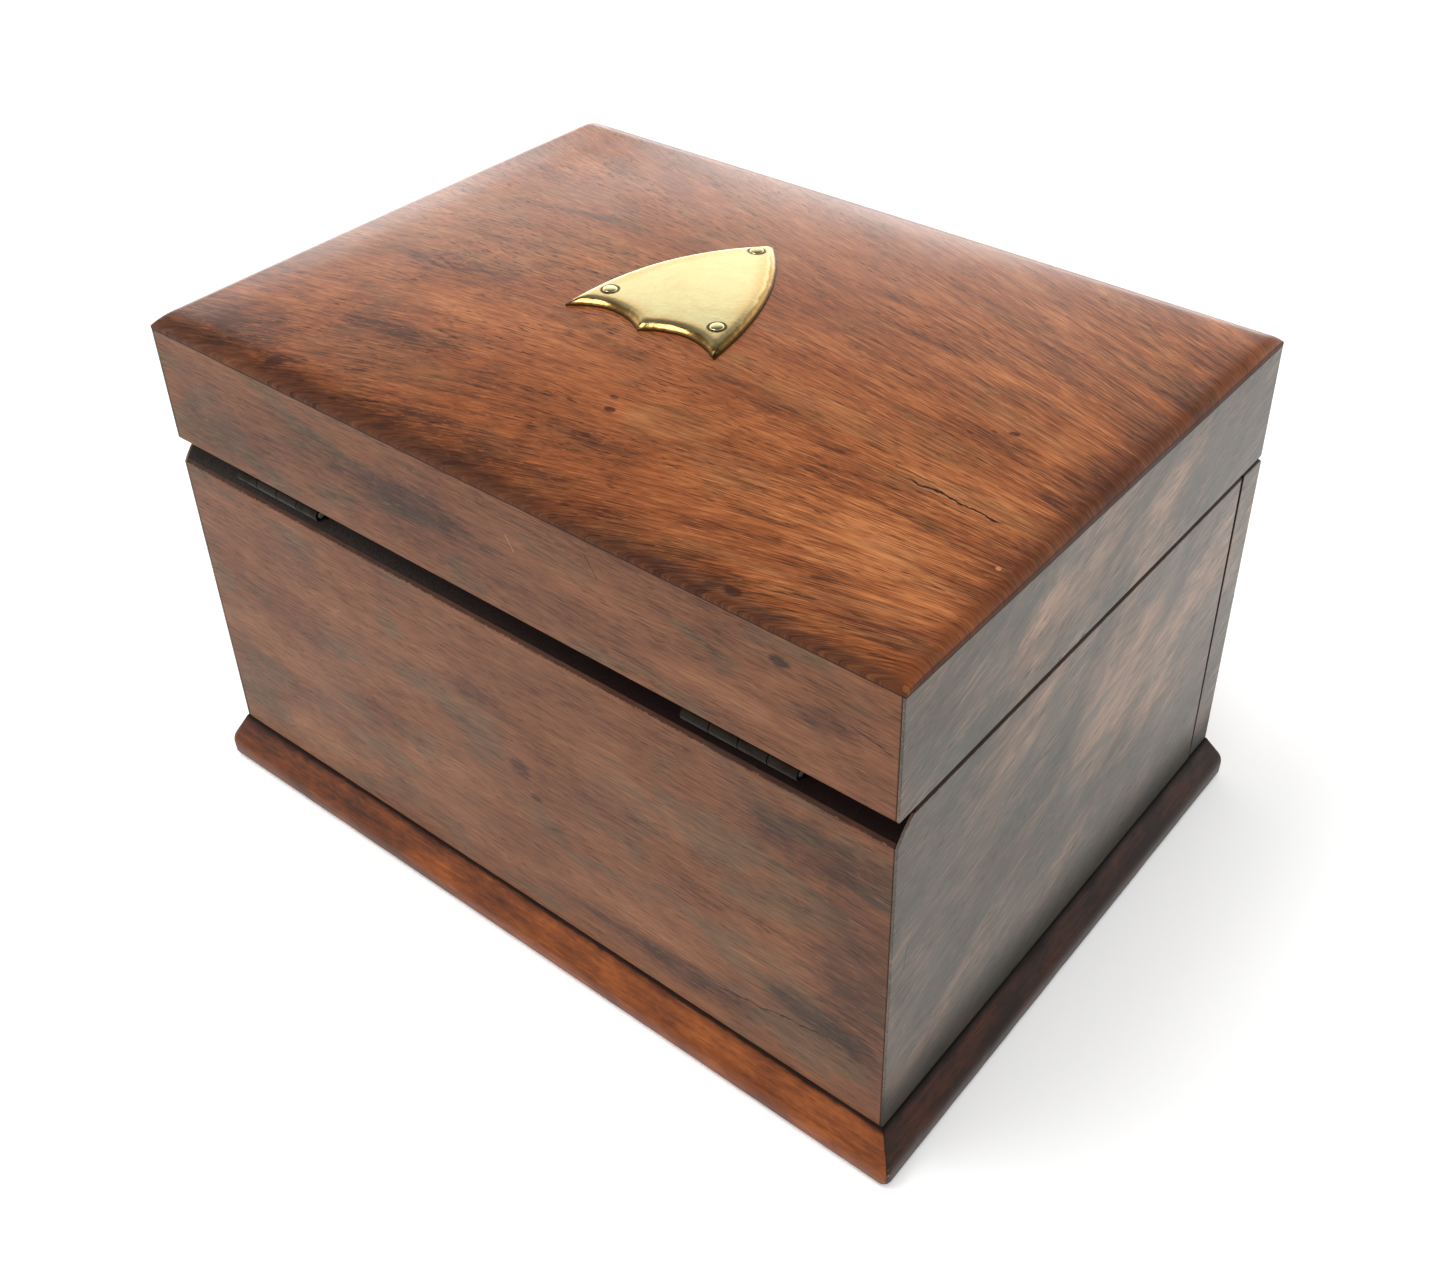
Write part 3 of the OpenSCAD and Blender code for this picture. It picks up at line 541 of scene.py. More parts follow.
def shieldMarks(tree):
    # dirt round the pins and along the edge, a warm stain, and painted shade and a painted highlight on the
    # bevel
    inward = tree.node("ShaderNodeAttribute", {"attribute_name": "inward"}, None, 2)
    speck = tree.patch(0.9, 3, 0.65) - 0.5
    x, y, z = tree.parts(tree.point)
    plan = tree.place(x, y)
    dirt = tree.ease(inward + speck * 0.5, 0.75, 0.2) * 0.95
    for pin in pinPlaces:
        away = tree.vector("DISTANCE", plan, (pin[0] * 1000, pin[1] * 1000, 0)) + speck * 0.7
        dirt = dirt + tree.ease(away, 3.3, 2.7) * 0.95
    border = tree.ease(inward, 7.5, 2.8) * (tree.ease(speck, -0.2, 0.2) * 0.25 + 0.3)
    warm = tree.spot((16.5, -14, 192), (12, 2.6, 20), 62, "Z", speck, 0.9) * 0.7 + border
    # painted shade on the low part of the bevel, and a painted highlight along its shoulder
    low = inward + (tree.patch(0.22, 2, 0.5) - 0.5) * 1.6
    brown = tree.ease(low, 2.5, 1.3) * 0.9
    bevelHighlight = tree.ease(low, 1.5, 2.1) * tree.ease(low, 3.0, 2.4) * 0.8
    return dirt.least(0.92), warm, brown, bevelHighlight


def steelFinish(name):
    tree = Finish(name)
    cloud = tree.patch(0.35, 4, 0.65)
    rust = tree.ease(cloud, 0.5, 0.72)
    return tree.finish({
        "Base Color": tree.mix(rust * 0.8, (0.30, 0.28, 0.26), (0.09, 0.045, 0.025)),
        "Metallic": 1.0 - rust * 0.6,
        "Roughness": 0.36 + rust * 0.3,
        "Normal": tree.bump(cloud, 0.00008, 0.6),
    })


def clothFinish(name):
    tree = Finish(name)
    nap = tree.patch(2.2, 4, 0.75)
    wear = tree.patch(0.025)
    x, y, z = tree.parts(tree.point)
    weave = x.math("SINE", x * 7.0) * y.math("SINE", y * 7.0)
    colour = tree.mix(tree.ease(nap, 0.3, 0.7), (0.115, 0.012, 0.016), (0.200, 0.028, 0.030))
    colour = tree.mix(tree.ease(wear, 0.45, 0.75) * 0.5, colour, (0.230, 0.075, 0.055))
    return tree.finish({
        "Base Color": colour,
        "Roughness": 0.95,
        "Sheen Weight": 0.12,
        "Sheen Roughness": 0.5,
        "Normal": tree.bump(nap * 0.8 + weave * 0.35, 0.0002, 0.8),
    })


def mark(x, y, z, along, across, shade, turn=0, axis="Z", soft=0.8, ragged=0.8, deep=60):
    reach = {"Z": (along, across, deep), "Y": (along, deep, across), "X": (deep, along, across)}[axis]
    return {"at": (x, y, z), "reach": reach, "shade": shade, "turn": turn, "axis": axis, "soft": soft,
            "ragged": ragged}


def rearMark(x, z, along, across, shade, turn=0, soft=0.8):
    return mark(x, mm["halfDepth"], z, along, across, shade, turn, "Y", soft)


def sideMark(y, z, along, across, shade, turn=-38, soft=0.95):
    return mark(-mm["halfWidth"], y, z, along, across, shade, turn, "X", soft)


# painted shade over the near half and along the rear edge, darker ends, streaks along the grain, small chips
# and stains, and a painted glint
lidMarks = [
    # the broad dark marks at y 82 to 94 (x 0, 108 and 112) are painted shade over the near half and the
    # rolled rear edge, where the top catches less sheen
    mark(0, 82, 182, 190, 40, -0.11, soft=0.98, ragged=0.3),
    mark(0, 94, 182, 175, 8, -0.20, soft=0.9, ragged=0.5), mark(112, 84, 182, 46, 15, -0.20, ragged=0.4),
    mark(20, 89, 182, 60, 6, -0.08), mark(-139, 0, 182, 15, 140, -0.34, soft=0.98, ragged=0.5),
    mark(108, 92, 182, 36, 10, -0.20, soft=0.98), mark(-90, 90, 184, 36, 9, 0.17, soft=0.98),
    mark(-121, 5, 185, 9, 32, 0.15, soft=0.98), mark(-128, -62, 184, 14, 34, -0.12, soft=0.98),
    mark(136, 50, 182, 12, 60, -0.14, soft=0.9), mark(86.4, 94, 182, 5, 2.6, -0.45, turn=35),
    mark(82, 28, 188, 48, 4.2, -0.20), mark(78, -22, 188, 34, 3.4, -0.26), mark(70, 6, 189, 24, 3.0, -0.24),
    mark(60, 66, 186, 34, 6, -0.22), mark(-60, 36, 188, 42, 9, -0.16), mark(-42, -34, 190, 26, 4.5, -0.16),
    mark(-68, -20, 189, 20, 3.4, -0.22), mark(-100, -12, 186, 14, 5, -0.14), mark(0, 40, 190, 30, 5, -0.12),
    mark(-20, 74, 186, 26, 4, -0.14), mark(10, 20, 191, 26, 7, 0.16), mark(60, 48, 188, 26, 6, 0.14),
    mark(-110, 62, 183, 22, 12, 0.20), mark(-85, 8, 188, 22, 6, 0.16), mark(-30, 60, 188, 30, 5, 0.12),
    mark(100, 60, 184, 20, 8, 0.12), mark(-108.7, 3.1, 185, 1.9, 1.1, -0.8, turn=30, soft=0.5),
    mark(-99.5, 11.1, 186, 1.0, 0.8, -0.7, soft=0.5), mark(-104, 6.0, 186, 1.2, 0.7, -0.5, soft=0.6),
    mark(-17.2, 62.1, 188, 2.4, 1.3, -0.6, soft=0.5), mark(-19.1, 73.5, 186, 1.6, 1.1, -0.6, soft=0.5),
    mark(-14.5, 57.5, 188, 1.8, 1.0, -0.4, soft=0.5), mark(-87.8, 97.0, 181, 3.4, 1.4, -0.6, soft=0.6),
    mark(-133.9, 52, 181, 0.9, 0.8, 0.9, soft=0.4),
    # a painted highlight: the glint on the lid's rear -X corner
    mark(-139.3, 99.2, 178.4, 1.3, 0.9, 1.2, soft=0.6, ragged=1.4, deep=2),
]
lidCracks = [
    {"face": "top", "start": (-97, 38.6), "end": (-127, 37.0), "width": 0.55, "wander": 4.0},
    {"face": "top", "start": (-92, 36.0), "end": (-106, 35.4), "width": 0.3, "wander": 3.0, "depth": 0.7},
    {"face": "top", "start": (-108, 41.0), "end": (-118, 40.4), "width": 0.3, "wander": 3.0, "depth": 0.6},
]
wallMarks = [
    # the broad dark marks at the -X end (x -134 and -128) are painted shade, where the wall shows less sheen
    rearMark(0, 158, 200, 24, -0.17, soft=0.98), rearMark(-134, 90, 30, 70, -0.20, soft=0.98),
    rearMark(-6, 77, 6, 5, -0.30, soft=0.7), rearMark(-12, 68, 3.5, 2, -0.3),
    rearMark(-74, 30, 60, 8, -0.34, turn=-4, soft=0.9),
    rearMark(-118, 46, 34, 10, -0.34, turn=-6, soft=0.9), rearMark(-128, 66, 26, 20, -0.30, soft=0.9),
    rearMark(12, 97, 22, 7, -0.26, soft=0.9), rearMark(-116, 112, 34, 16, -0.26),
    rearMark(100, 80, 26, 16, -0.12), rearMark(60, 62, 30, 8, -0.12), rearMark(95, 100, 40, 8, 0.16),
    rearMark(30, 60, 40, 9, 0.12), rearMark(95, 32, 45, 9, 0.24, soft=0.9), rearMark(-40, 40, 50, 9, 0.16),
    rearMark(-60, 92, 30, 8, 0.12), rearMark(-100, 28, 30, 6, 0.16), rearMark(30, 160, 50, 8, -0.20),
    rearMark(-50, 160, 34, 10, 0.18), rearMark(-118, 158, 16, 7, -0.26), rearMark(-86, 150, 30, 6, 0.20),
    rearMark(105, 150, 26, 16, -0.16), rearMark(-104, 169, 4, 2, -0.5, soft=0.6),
]
wallCracks = [
    {"face": "rear", "start": (-78, 33.0), "end": (-139, 46.0), "width": 0.32, "wander": 4.0},
    {"face": "rear", "start": (-41, 173.0), "end": (-46, 165.5), "width": 0.22, "wander": 1.0, "depth": 0.8},
    {"face": "rear", "start": (-12, 166.0), "end": (-15, 160.5), "width": 0.18, "wander": 1.0, "depth": 0.5,
     "colour": (0.45, 0.30, 0.20)},
    {"face": "rear", "start": (-124, 160.5), "end": (-138, 157.5), "width": 0.3, "wander": 2.0, "depth": 0.7},
]
sideMarks = [
    sideMark(-54, 96, 84, 60, 0.20, soft=0.98), sideMark(0, 158, 42, 24, 0.15, turn=0, soft=0.98),
    sideMark(-86, 34, 26, 16, 0.30, turn=0, soft=0.98), sideMark(30, 58, 60, 18, -0.16),
    sideMark(-46, 84, 44, 13, 0.18), sideMark(24, 112, 34, 10, 0.14), sideMark(-4, 56, 30, 8, 0.14),
    sideMark(-62, 46, 36, 10, -0.14), sideMark(-74, 112, 30, 16, 0.22), sideMark(34, 160, 34, 17, 0.26),
    sideMark(-32, 160, 36, 17, 0.28), sideMark(-84, 162, 24, 12, 0.16), sideMark(84, 150, 20, 12, -0.12),
    sideMark(4, 154, 24, 5, -0.16),
]
sideCracks = [
    {"face": "side", "start": (92.5, 89), "end": (94.5, 79), "width": 0.3, "wander": 2.0},
    {"face": "side", "start": (88, 84), "end": (90, 78), "width": 0.2, "wander": 2.0, "depth": 0.6},
]
shield = {
    "width": 0.0555,
    "length": 0.066,
    "at": (0.0023, -0.0031),
    "turn": 1.6,          # degrees
    "sideBow": 0.0067,
    "scallop": 0.0046,
    "edge": 0.0007,       # height of the sharp edge over the wood
    "field": 0.0022,      # height of the field
    "bevel": 0.0034,      # width of the turned-down border
    "swell": 0.75,        # how roundly the border rises
    "lift": 0.00005,      # of the underside over the wood
    "span": 0.036,        # how far the grid of points reaches
    "grid": 0.0011,
    "pins": [(0.02005, 0.0215), (-0.02005, 0.0215), (0.0, -0.0243)],
    "pinTurns": [(0.03, -0.02, 0), (-0.03, 0.03, 1), (0.02, 0.02, 2)],
    "pinHeight": 0.00235,      # of the pin heads over the wood
}


def laid(look, place):
    # where a place of the shield lies on the lid
    return Matrix.Rotation(math.radians(look["turn"]), 2) @ Vector(place) + Vector(look["at"])


lidWood = veneerFinish(
    "lidTopVeneer", fan=0.0038, coat=0.44, open=0.6, hair=0.6, mid=(0.300, 0.086, 0.024),
    light=(0.540, 0.200, 0.068), edges=lidEdges, worn=lidWorn, marks=lidMarks, cracks=lidCracks)
wallWood = veneerFinish(
    "wallVeneer", seed=3, dark=(0.042, 0.016, 0.009), mid=(0.160, 0.059, 0.025), light=(0.270, 0.120, 0.055),
    olive=(0.086, 0.054, 0.029), oliveShare=0.65, coatRoughness=0.2, coat=0.27, sway=4, roughness=0.5,
    pore=0.4, streak=0.27, fibre=0.62, hair=0.65, fleck=0.28, ribbon=0.33, cloud=0.58, cloudSize=(60, 20),
    edges=wallEdges, marks=wallMarks, cracks=wallCracks)
sideWood = veneerFinish(
    "sideVeneer", seed=7, turn=(15, "X"), dark=(0.024, 0.022, 0.016), mid=(0.072, 0.053, 0.037),
    light=(0.310, 0.185, 0.120), olive=(0.052, 0.047, 0.034), oliveShare=0.7, coatRoughness=0.22, coat=0.6,
    roughness=0.5, pore=0.6, streak=0.28, fibre=0.55, hair=0.5, fleck=0.22, cloud=0.9, cloudTurn=23, foot=0.9,
    edges=sideEdges, marks=sideMarks, cracks=sideCracks)
carcaseWood = carcaseFinish("carcaseWood", carcaseLook)
carcaseWoodSide = carcaseFinish("carcaseWoodSide", carcaseLook, alongY=True)
plinthWood = plinthFinish("plinthLong", plinthLook["long"], plinthLook["bare"])
plinthWoodSide = plinthFinish("plinthShort", plinthLook["short"], plinthLook["bare"], alongY=True)
pinPlaces = [laid(shield, place) for place in shield["pins"]]
shieldBrass = brassFinish("shieldBrass", brassLook["polished"], shieldMarks)
pinBrass = brassFinish("pinBrass", brassLook["polished"])
lockBrass = brassFinish("lockBrass", brassLook["lock"])
hingeBrass = brassFinish("hingeBrass", brassLook["aged"])
agedSteel = steelFinish("agedSteel")
baize = clothFinish("baize")
print("materials made:", len(bpy.data.materials))


def meshObject(name, points, faces, material):
    mesh = bpy.data.meshes.new(name)
    mesh.from_pydata([tuple(p) for p in points], [], faces)
    mesh.validate()
    mesh.update()
    made = bpy.data.objects.new(name, mesh)
    bpy.context.scene.collection.objects.link(made)
    mesh.materials.append(material)
    return made


def smooth(made, angle=35):
    made.data.shade_smooth()
    made.data.set_sharp_from_angle(angle=math.radians(angle))


def settle(made, node):
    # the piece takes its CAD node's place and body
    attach(made, nodes[node]["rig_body"])
    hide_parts(node)
    return made


def applied(made):
    # what the modifiers make of the piece becomes its own mesh
    bpy.context.view_layer.update()
    mesh = bpy.data.meshes.new_from_object(made.evaluated_get(bpy.context.evaluated_depsgraph_get()))
    made.modifiers.clear()
    old = made.data
    made.data = mesh
    mesh.name = made.name
    bpy.data.meshes.remove(old)


def facedOutward(made):
    cleaned = bmesh.new()
    cleaned.from_mesh(made.data)
    bmesh.ops.recalc_face_normals(cleaned, faces=cleaned.faces)
    cleaned.to_mesh(made.data)
    cleaned.free()


def slabFaces(wide, tall):
    # two like grids of points, the second under the first, joined round the rim
    count = wide * tall
    faces = []
    for j in range(tall - 1):
        for i in range(wide - 1):
            k = j * wide + i
            faces.append((k, k + 1, k + wide + 1, k + wide))
            faces.append((k + count, k + wide + count, k + wide + 1 + count, k + 1 + count))
    rim = list(range(wide)) + [j * wide + wide - 1 for j in range(1, tall)]
    rim += [(tall - 1) * wide + i for i in range(wide - 2, -1, -1)]
    rim += [j * wide for j in range(tall - 2, 0, -1)]
    for p, q in zip(rim, rim[1:] + rim[:1]):
        faces.append((p, p + count, q + count, q))
    return faces


def barFaces(wide, count):
    # the same ring of points again and again along a bar, closed at both ends
    faces = [tuple(range(wide)), tuple((count - 1) * wide + i for i in reversed(range(wide)))]
    for j in range(count - 1):
        for i in range(wide):
            k = (i + 1) % wide
            faces.append((j * wide + i, (j + 1) * wide + i, (j + 1) * wide + k, j * wide + k))
    return faces


def crowded(count, power):
    # places from -1 to 1 that stand closer together towards both ends
    steps = [2 * i / count - 1 for i in range(count + 1)]
    return [math.copysign(1 - (1 - abs(s)) ** power, s) for s in steps]


def rollRise(distance, width):
    t = min(1, distance / width)
    return math.sqrt(max(0, 1 - (1 - t) ** 2))


def domeRise(x, y):
    a, b = x / box["halfWidth"], y / box["halfDepth"]
    endRise = rollRise(box["halfWidth"] - abs(x), box["endRoll"])
    sideRise = rollRise(box["halfDepth"] - abs(y), box["rollWidth"])
    dome = (box["crown"] - box["rollHeight"]) * (1 - a * a) * (1 - b * b)
    return box["rollHeight"] * endRise * sideRise + dome


lidTop = {"columns": 120, "rows": 92, "crowding": 2.4}


def makeLidTop(look):
    xs = [x * box["halfWidth"] for x in crowded(look["columns"], look["crowding"])]
    ys = [y * box["halfDepth"] for y in crowded(look["rows"], look["crowding"])]
    points = [(x, y, box["rim"] + domeRise(x, y)) for y in ys for x in xs]
    points += [(x, y, z - box["veneer"]) for x, y, z in points]
    made = meshObject("lidTopVeneer", points, slabFaces(len(xs), len(ys)), lidWood)
    smooth(made, 50)
    return settle(made, "lid_top_veneer")


makeLidTop(lidTop)
print("lid top made")


def bow(start, end, rise, count):
    # points from start to end that bow out to the right of the way
    line = end - start
    side = Vector((line.y, -line.x)).normalized()
    return [start + line * t + side * rise * 4 * t * (1 - t) for t in (i / count for i in range(count))]


def shieldOutline(look):
    w, l = look["width"] / 2, look["length"] / 2
    point, right, cusp, left = Vector((0, -l)), Vector((w, l)), Vector((0, l)), Vector((-w, l))
    return (bow(point, right, look["sideBow"], 60) + bow(right, cusp, -look["scallop"], 32)
            + bow(cusp, left, -look["scallop"], 32) + bow(left, point, look["sideBow"], 60))


def edgeDistance(places, outline):
    # distance of each place to the closed outline
    a = np.array([tuple(p) for p in outline])
    b = np.roll(a, -1, axis=0)
    d = b - a
    best = np.full(len(places), 1.0)
    for start, step in zip(a, d):
        t = np.clip(((places - start) @ step) / (step @ step), 0, 1)
        best = np.minimum(best, np.linalg.norm(places - start - t[:, None] * step, axis=1))
    return best


def insideOutline(places, outline):
    a = np.array([tuple(p) for p in outline])
    b = np.roll(a, -1, axis=0)
    inside = np.zeros(len(places), bool)
    for (x0, y0), (x1, y1) in zip(a, b):
        if y0 != y1:
            crosses = (places[:, 1] > min(y0, y1)) & (places[:, 1] <= max(y0, y1))
            inside ^= crosses & (places[:, 0] < x0 + (places[:, 1] - y0) * (x1 - x0) / (y1 - y0))
    return inside


def makeShield(look):
    outline = shieldOutline(look)
    step = look["grid"]
    span = np.arange(-look["span"], look["span"], step)
    grid = np.array([(x + (0.5 * step if j % 2 else 0), y) for j, y in enumerate(span) for x in span])
    grid = grid[insideOutline(grid, outline)]
    distance = edgeDistance(grid, outline)
    grid = grid[distance > 0.45 * step]
    flat = [Vector(p) for p in outline] + [Vector(p) for p in grid]
    edge = len(outline)
    made = delaunay_2d_cdt(flat, [(i, (i + 1) % edge) for i in range(edge)], [], 1, 1e-7)
    places, triangles = made[0], made[2]
    away = edgeDistance(np.array([tuple(p) for p in places]), outline)
    top, bottom = [], []
    for p, d in zip(places, away):
        q = laid(look, p)
        t = min(1, d / look["bevel"])
        rise = look["edge"] + (look["field"] - look["edge"]) * math.sin(t * math.pi / 2) ** look["swell"]
        wood = box["rim"] + domeRise(q.x, q.y)
        top.append((q.x, q.y, wood + rise))
        bottom.append((q.x, q.y, wood + look["lift"]))
    count = len(top)
    faces = [tuple(f) for f in triangles] + [tuple(i + count for i in reversed(f)) for f in triangles]
    for i in range(edge):
        j = (i + 1) % edge
        faces.append((i, i + count, j + count, j))
    piece = meshObject("shieldPlate", top + bottom, faces, shieldBrass)
    inward = piece.data.attributes.new("inward", "FLOAT", "POINT")
    inward.data.foreach_set("value", [d * 1000 for d in away] * 2)
    smooth(piece, 40)
    return settle(piece, "shield_plate")


makeShield(shield)
print("shield made")


plinth = {
    "height": 0.018,
    "out": 0.006,
    "nose": 0.008,        # radius of the nose
    "toe": 0.003,         # radius under it
    "slope": 58,          # degrees, of the top above the nose
    "wall": 0.0129,
    "wear": 0.0026,       # rounding of the corners at the nose, in plan
    "lip": (0.0006, 0.0004),         # the small slope at the very top, out and down
    "wave": 0.00010,      # unevenness along the length
    "dents": 9,           # small knocks along each length
    "dentWidth": (0.0008, 0.0022),
    "dentDepth": (0.0001, 0.00028),
    "dentHeight": (0.006, 0.016),    # over the floor
    "step": 0.0025,
}


def plinthProfile(look):
    a = math.radians(90 - look["slope"])
    centreX = look["out"] - look["nose"]
    startX = centreX + look["nose"] * math.cos(a)
    centreZ = look["height"] - startX * math.tan(math.radians(look["slope"])) - look["nose"] * math.sin(a)
    slopeStart = (look["lip"][0], look["height"] - look["lip"][1])
    top = [(0.0, look["height"]), slopeStart]
    bends = [a * (1 - i / 8) for i in range(9)]
    reach = [(look["nose"] * math.cos(b), look["nose"] * math.sin(b)) for b in bends]
    first = (centreX + reach[0][0], centreZ + reach[0][1])
    slope = [tuple(p + (q - p) * t for p, q in zip(slopeStart, first)) for t in (0.2, 0.4, 0.6, 0.8)]
    nose = [(centreX + u, centreZ + w) for u, w in reach]
    foot = [(look["out"] - look["toe"] * (1 - math.cos(b)), look["toe"] * (1 - math.sin(b)))
            for b in (math.radians(15 * i) for i in range(1, 7))]
    return [(-look["wall"], 0.0), (-look["wall"], look["height"])] + top + slope + nose + foot


def makePlinth(name, node, halfLength, depth, turn, material, seed, look):
    # one mitred moulding that faces +Y, turned into its place
    dice = random.Random(seed)
    profile = plinthProfile(look)
    dents = [(dice.uniform(-halfLength, halfLength), dice.uniform(*look["dentWidth"]),
              dice.uniform(*look["dentDepth"]), dice.uniform(*look["dentHeight"]))
             for _ in range(look["dents"])]
    phase = [dice.uniform(0, 6.3) for _ in range(4)]
    count = int(2 * halfLength / look["step"])
    rows = []

    def corner(side, bend):
        row = []
        for u, z in profile:
            r = 0.0 if u < 0 else 0.0003 + (look["wear"] - 0.0003) * min(1, u / look["out"])
            r = min(r, max(0.0, u + 0.0003)) if u < look["out"] * 0.2 else r
            out = u - r
            row.append((side * (halfLength + out + r * math.sin(bend)), depth + out + r * math.cos(bend), z))
        return row

    for step in range(7):
        rows.append(corner(-1, math.radians(45 - 7.5 * step)))
    for i in range(1, count):
        along = -halfLength + 2 * halfLength * i / count
        calm = min(1, (halfLength - abs(along)) / 0.01)
        row = []
        for u, z in profile:
            shift = 0.0
            if u > 0.0003 and z > 0.0004:
                wave = (math.sin(along * 61 + phase[0]) + math.sin(along * 143 + phase[1] + z * 300)
                        + 0.6 * math.sin(along * 371 + phase[2])) * look["wave"] * 0.4
                knock = sum(deep * math.exp(-((along - at) / wide) ** 2 - ((z - high) / 0.003) ** 2)
                            for at, wide, deep, high in dents)
                shift = calm * (-abs(wave) - knock)
            row.append((along, depth + u + shift, z))
        rows.append(row)
    for step in range(7):
        rows.append(corner(1, math.radians(7.5 * step)))
    spin = Matrix.Rotation(math.radians(turn), 3, "Z")
    points = [spin @ Vector(p) for row in rows for p in row]
    made = meshObject(name, points, barFaces(len(profile), len(rows)), material)
    facedOutward(made)
    smooth(made, 38)
    return settle(made, node)


halfWidth, halfDepth = box["halfWidth"], box["halfDepth"]
makePlinth("plinthRear", "plinth_rear", halfWidth, halfDepth, 0, plinthWood, 2, plinth)
makePlinth("plinthLeft", "plinth_left", halfDepth, halfWidth, 90, plinthWoodSide, 5, plinth)
makePlinth("plinthRight", "plinth_right", halfDepth, halfWidth, -90, plinthWoodSide, 8, plinth)
plinthFront = makePlinth("plinthFront", "plinth_front", halfWidth, halfDepth, 180, plinthWood, 12, plinth)

fallHinge = {
    "x": 0.091,
    "y": -0.1006,
    "z": 0.0182,
    "length": 0.038,
    "leaf": 0.011,
    "room": 0.00255,      # round the knuckles
    "play": 0.00035,      # at each end of them
}


def cutHingeSeats(piece, look):
    # takes the seats of the two fall hinges out of the front moulding
    cutters = []
    for side in (-1, 1):
        leafSeat, barrelSeat = bmesh.new(), bmesh.new()
        room, length = look["room"], look["length"]
        bmesh.ops.create_cube(leafSeat, size=1)
        bmesh.ops.scale(leafSeat, vec=(length, look["leaf"], 2 * room), verts=leafSeat.verts)
        bmesh.ops.create_cone(barrelSeat, cap_ends=True, segments=32, radius1=room, radius2=room,
                              depth=length + 2 * look["play"], matrix=Matrix.Rotation(math.pi / 2, 4, "Y"))
        for seat, inward in ((leafSeat, look["leaf"] / 2), (barrelSeat, 0)):
            bmesh.ops.translate(seat, vec=(side * look["x"], look["y"] + inward, look["z"]), verts=seat.verts)
            mesh = bpy.data.meshes.new("seat")
            seat.to_mesh(mesh)
            seat.free()
            cutter = bpy.data.objects.new("seat", mesh)
            bpy.context.scene.collection.objects.link(cutter)
            cut = piece.modifiers.new("seat", "BOOLEAN")
            cut.operation = "DIFFERENCE"
            cut.solver = "MANIFOLD"
            cut.object = cutter
            cutters.append(cutter)
    applied(piece)
    for cutter in cutters:
        mesh = cutter.data
        bpy.data.objects.remove(cutter)
        bpy.data.meshes.remove(mesh)
    smooth(piece, 38)


cutHingeSeats(plinthFront, fallHinge)
print("plinth made")


rearVeneer = {
    "bottom": 0.018,
    "outerTop": 0.1281,   # where the sawn chamfer meets the face
    "innerTop": 0.1293,
    "step": 0.0007,
    "fray": 0.00022,      # depth of the saw's small steps
    "stepShare": 0.3,     # how often the saw's step changes
    "notches": 34,
    "notchWidth": (0.0006, 0.0018),
    "notchDeep": 0.0006,
}


def makeRearVeneer(look):
    # the veneer broke away in small steps where the chamfer was sawn
    dice = random.Random(3)
    half, outer, inner = box["halfWidth"] - box["veneer"], box["halfDepth"], box["halfDepth"] - box["veneer"]
    count = int(2 * half / look["step"])
    notches = [(dice.uniform(-half, half) if i % 3 else dice.uniform(0.0, half),
                dice.uniform(*look["notchWidth"]),
                dice.uniform(0.3, 1.0) * look["notchDeep"]) for i in range(look["notches"])]
    step, points = 0.0, []
    rows = [0.0, 0.25, 0.5, 0.75, 0.93]
    tall = look["outerTop"] - 0.001 - look["bottom"]
    for i in range(count + 1):
        x = -half + 2 * half * i / count
        if dice.random() < look["stepShare"]:
            step = dice.random() * look["fray"]
        bites = [deep * (1 - abs(x - at) / wide) for at, wide, deep in notches if abs(x - at) < wide]
        bite = step + max(bites + [0.0])
        top = look["outerTop"] - bite
        for t in rows:
            points.append((x, outer, look["bottom"] + tall * t / rows[-1]))
        points.append((x, outer, top))
        points.append((x, outer - box["veneer"] * 0.35, top + (look["innerTop"] - top) * 0.42))
        points.append((x, inner, look["innerTop"] - bite * 0.3))
        points.append((x, inner, look["bottom"]))
    made = meshObject("rearVeneer", points, barFaces(len(rows) + 4, count + 1), wallWood)
    facedOutward(made)
    smooth(made, 30)
    return settle(made, "rear_veneer")


makeRearVeneer(rearVeneer)
print("rear veneer made")


class Geometry(Tree):
    def __init__(self, name, sizes):
        self.group = bpy.data.node_groups.new(name, "GeometryNodeTree")
        super().__init__(self.group)
        self.group.interface.new_socket("Geometry", in_out="INPUT", socket_type="NodeSocketGeometry")
        self.ids = {}
        for key, value in sizes.items():
            kind = "NodeSocketInt" if isinstance(value, int) else "NodeSocketFloat"
            socket = self.group.interface.new_socket(key, in_out="INPUT", socket_type=kind)
            socket.default_value = value
            self.ids[key] = socket.identifier
        self.group.interface.new_socket("Geometry", in_out="OUTPUT", socket_type="NodeSocketGeometry")
        self.start = self.nodes.new("NodeGroupInput")

    def size(self, key):
        return Wire(self, self.start.outputs[key])

    def moved(self, part, z):
        return self.node("GeometryNodeTransform", None, {"Geometry": part, "Translation": self.place(z=z)})

    def spread(self, parts, material, scale):
        # one copy of the parts at every point, turned as the point says
        joined = self.nodes.new("GeometryNodeJoinGeometry")
        for part in parts:
            self.links.new(part.socket, joined.inputs[0])
        turn = self.node("GeometryNodeInputNamedAttribute", {"data_type": "FLOAT_VECTOR"}, {"Name": "turn"})
        rotation = self.node("FunctionNodeEulerToRotation", None, {0: turn})
        copies = self.node("GeometryNodeInstanceOnPoints", None, {
            "Points": self.size("Geometry"), "Instance": Wire(self, joined.outputs[0]), "Rotation": rotation,
            "Scale": scale})
        real = self.node("GeometryNodeRealizeInstances", None, {0: copies})
        done = self.node("GeometryNodeSetMaterial", None, {"Geometry": real, "Material": material})
        self.node("NodeGroupOutput", None, {0: done})


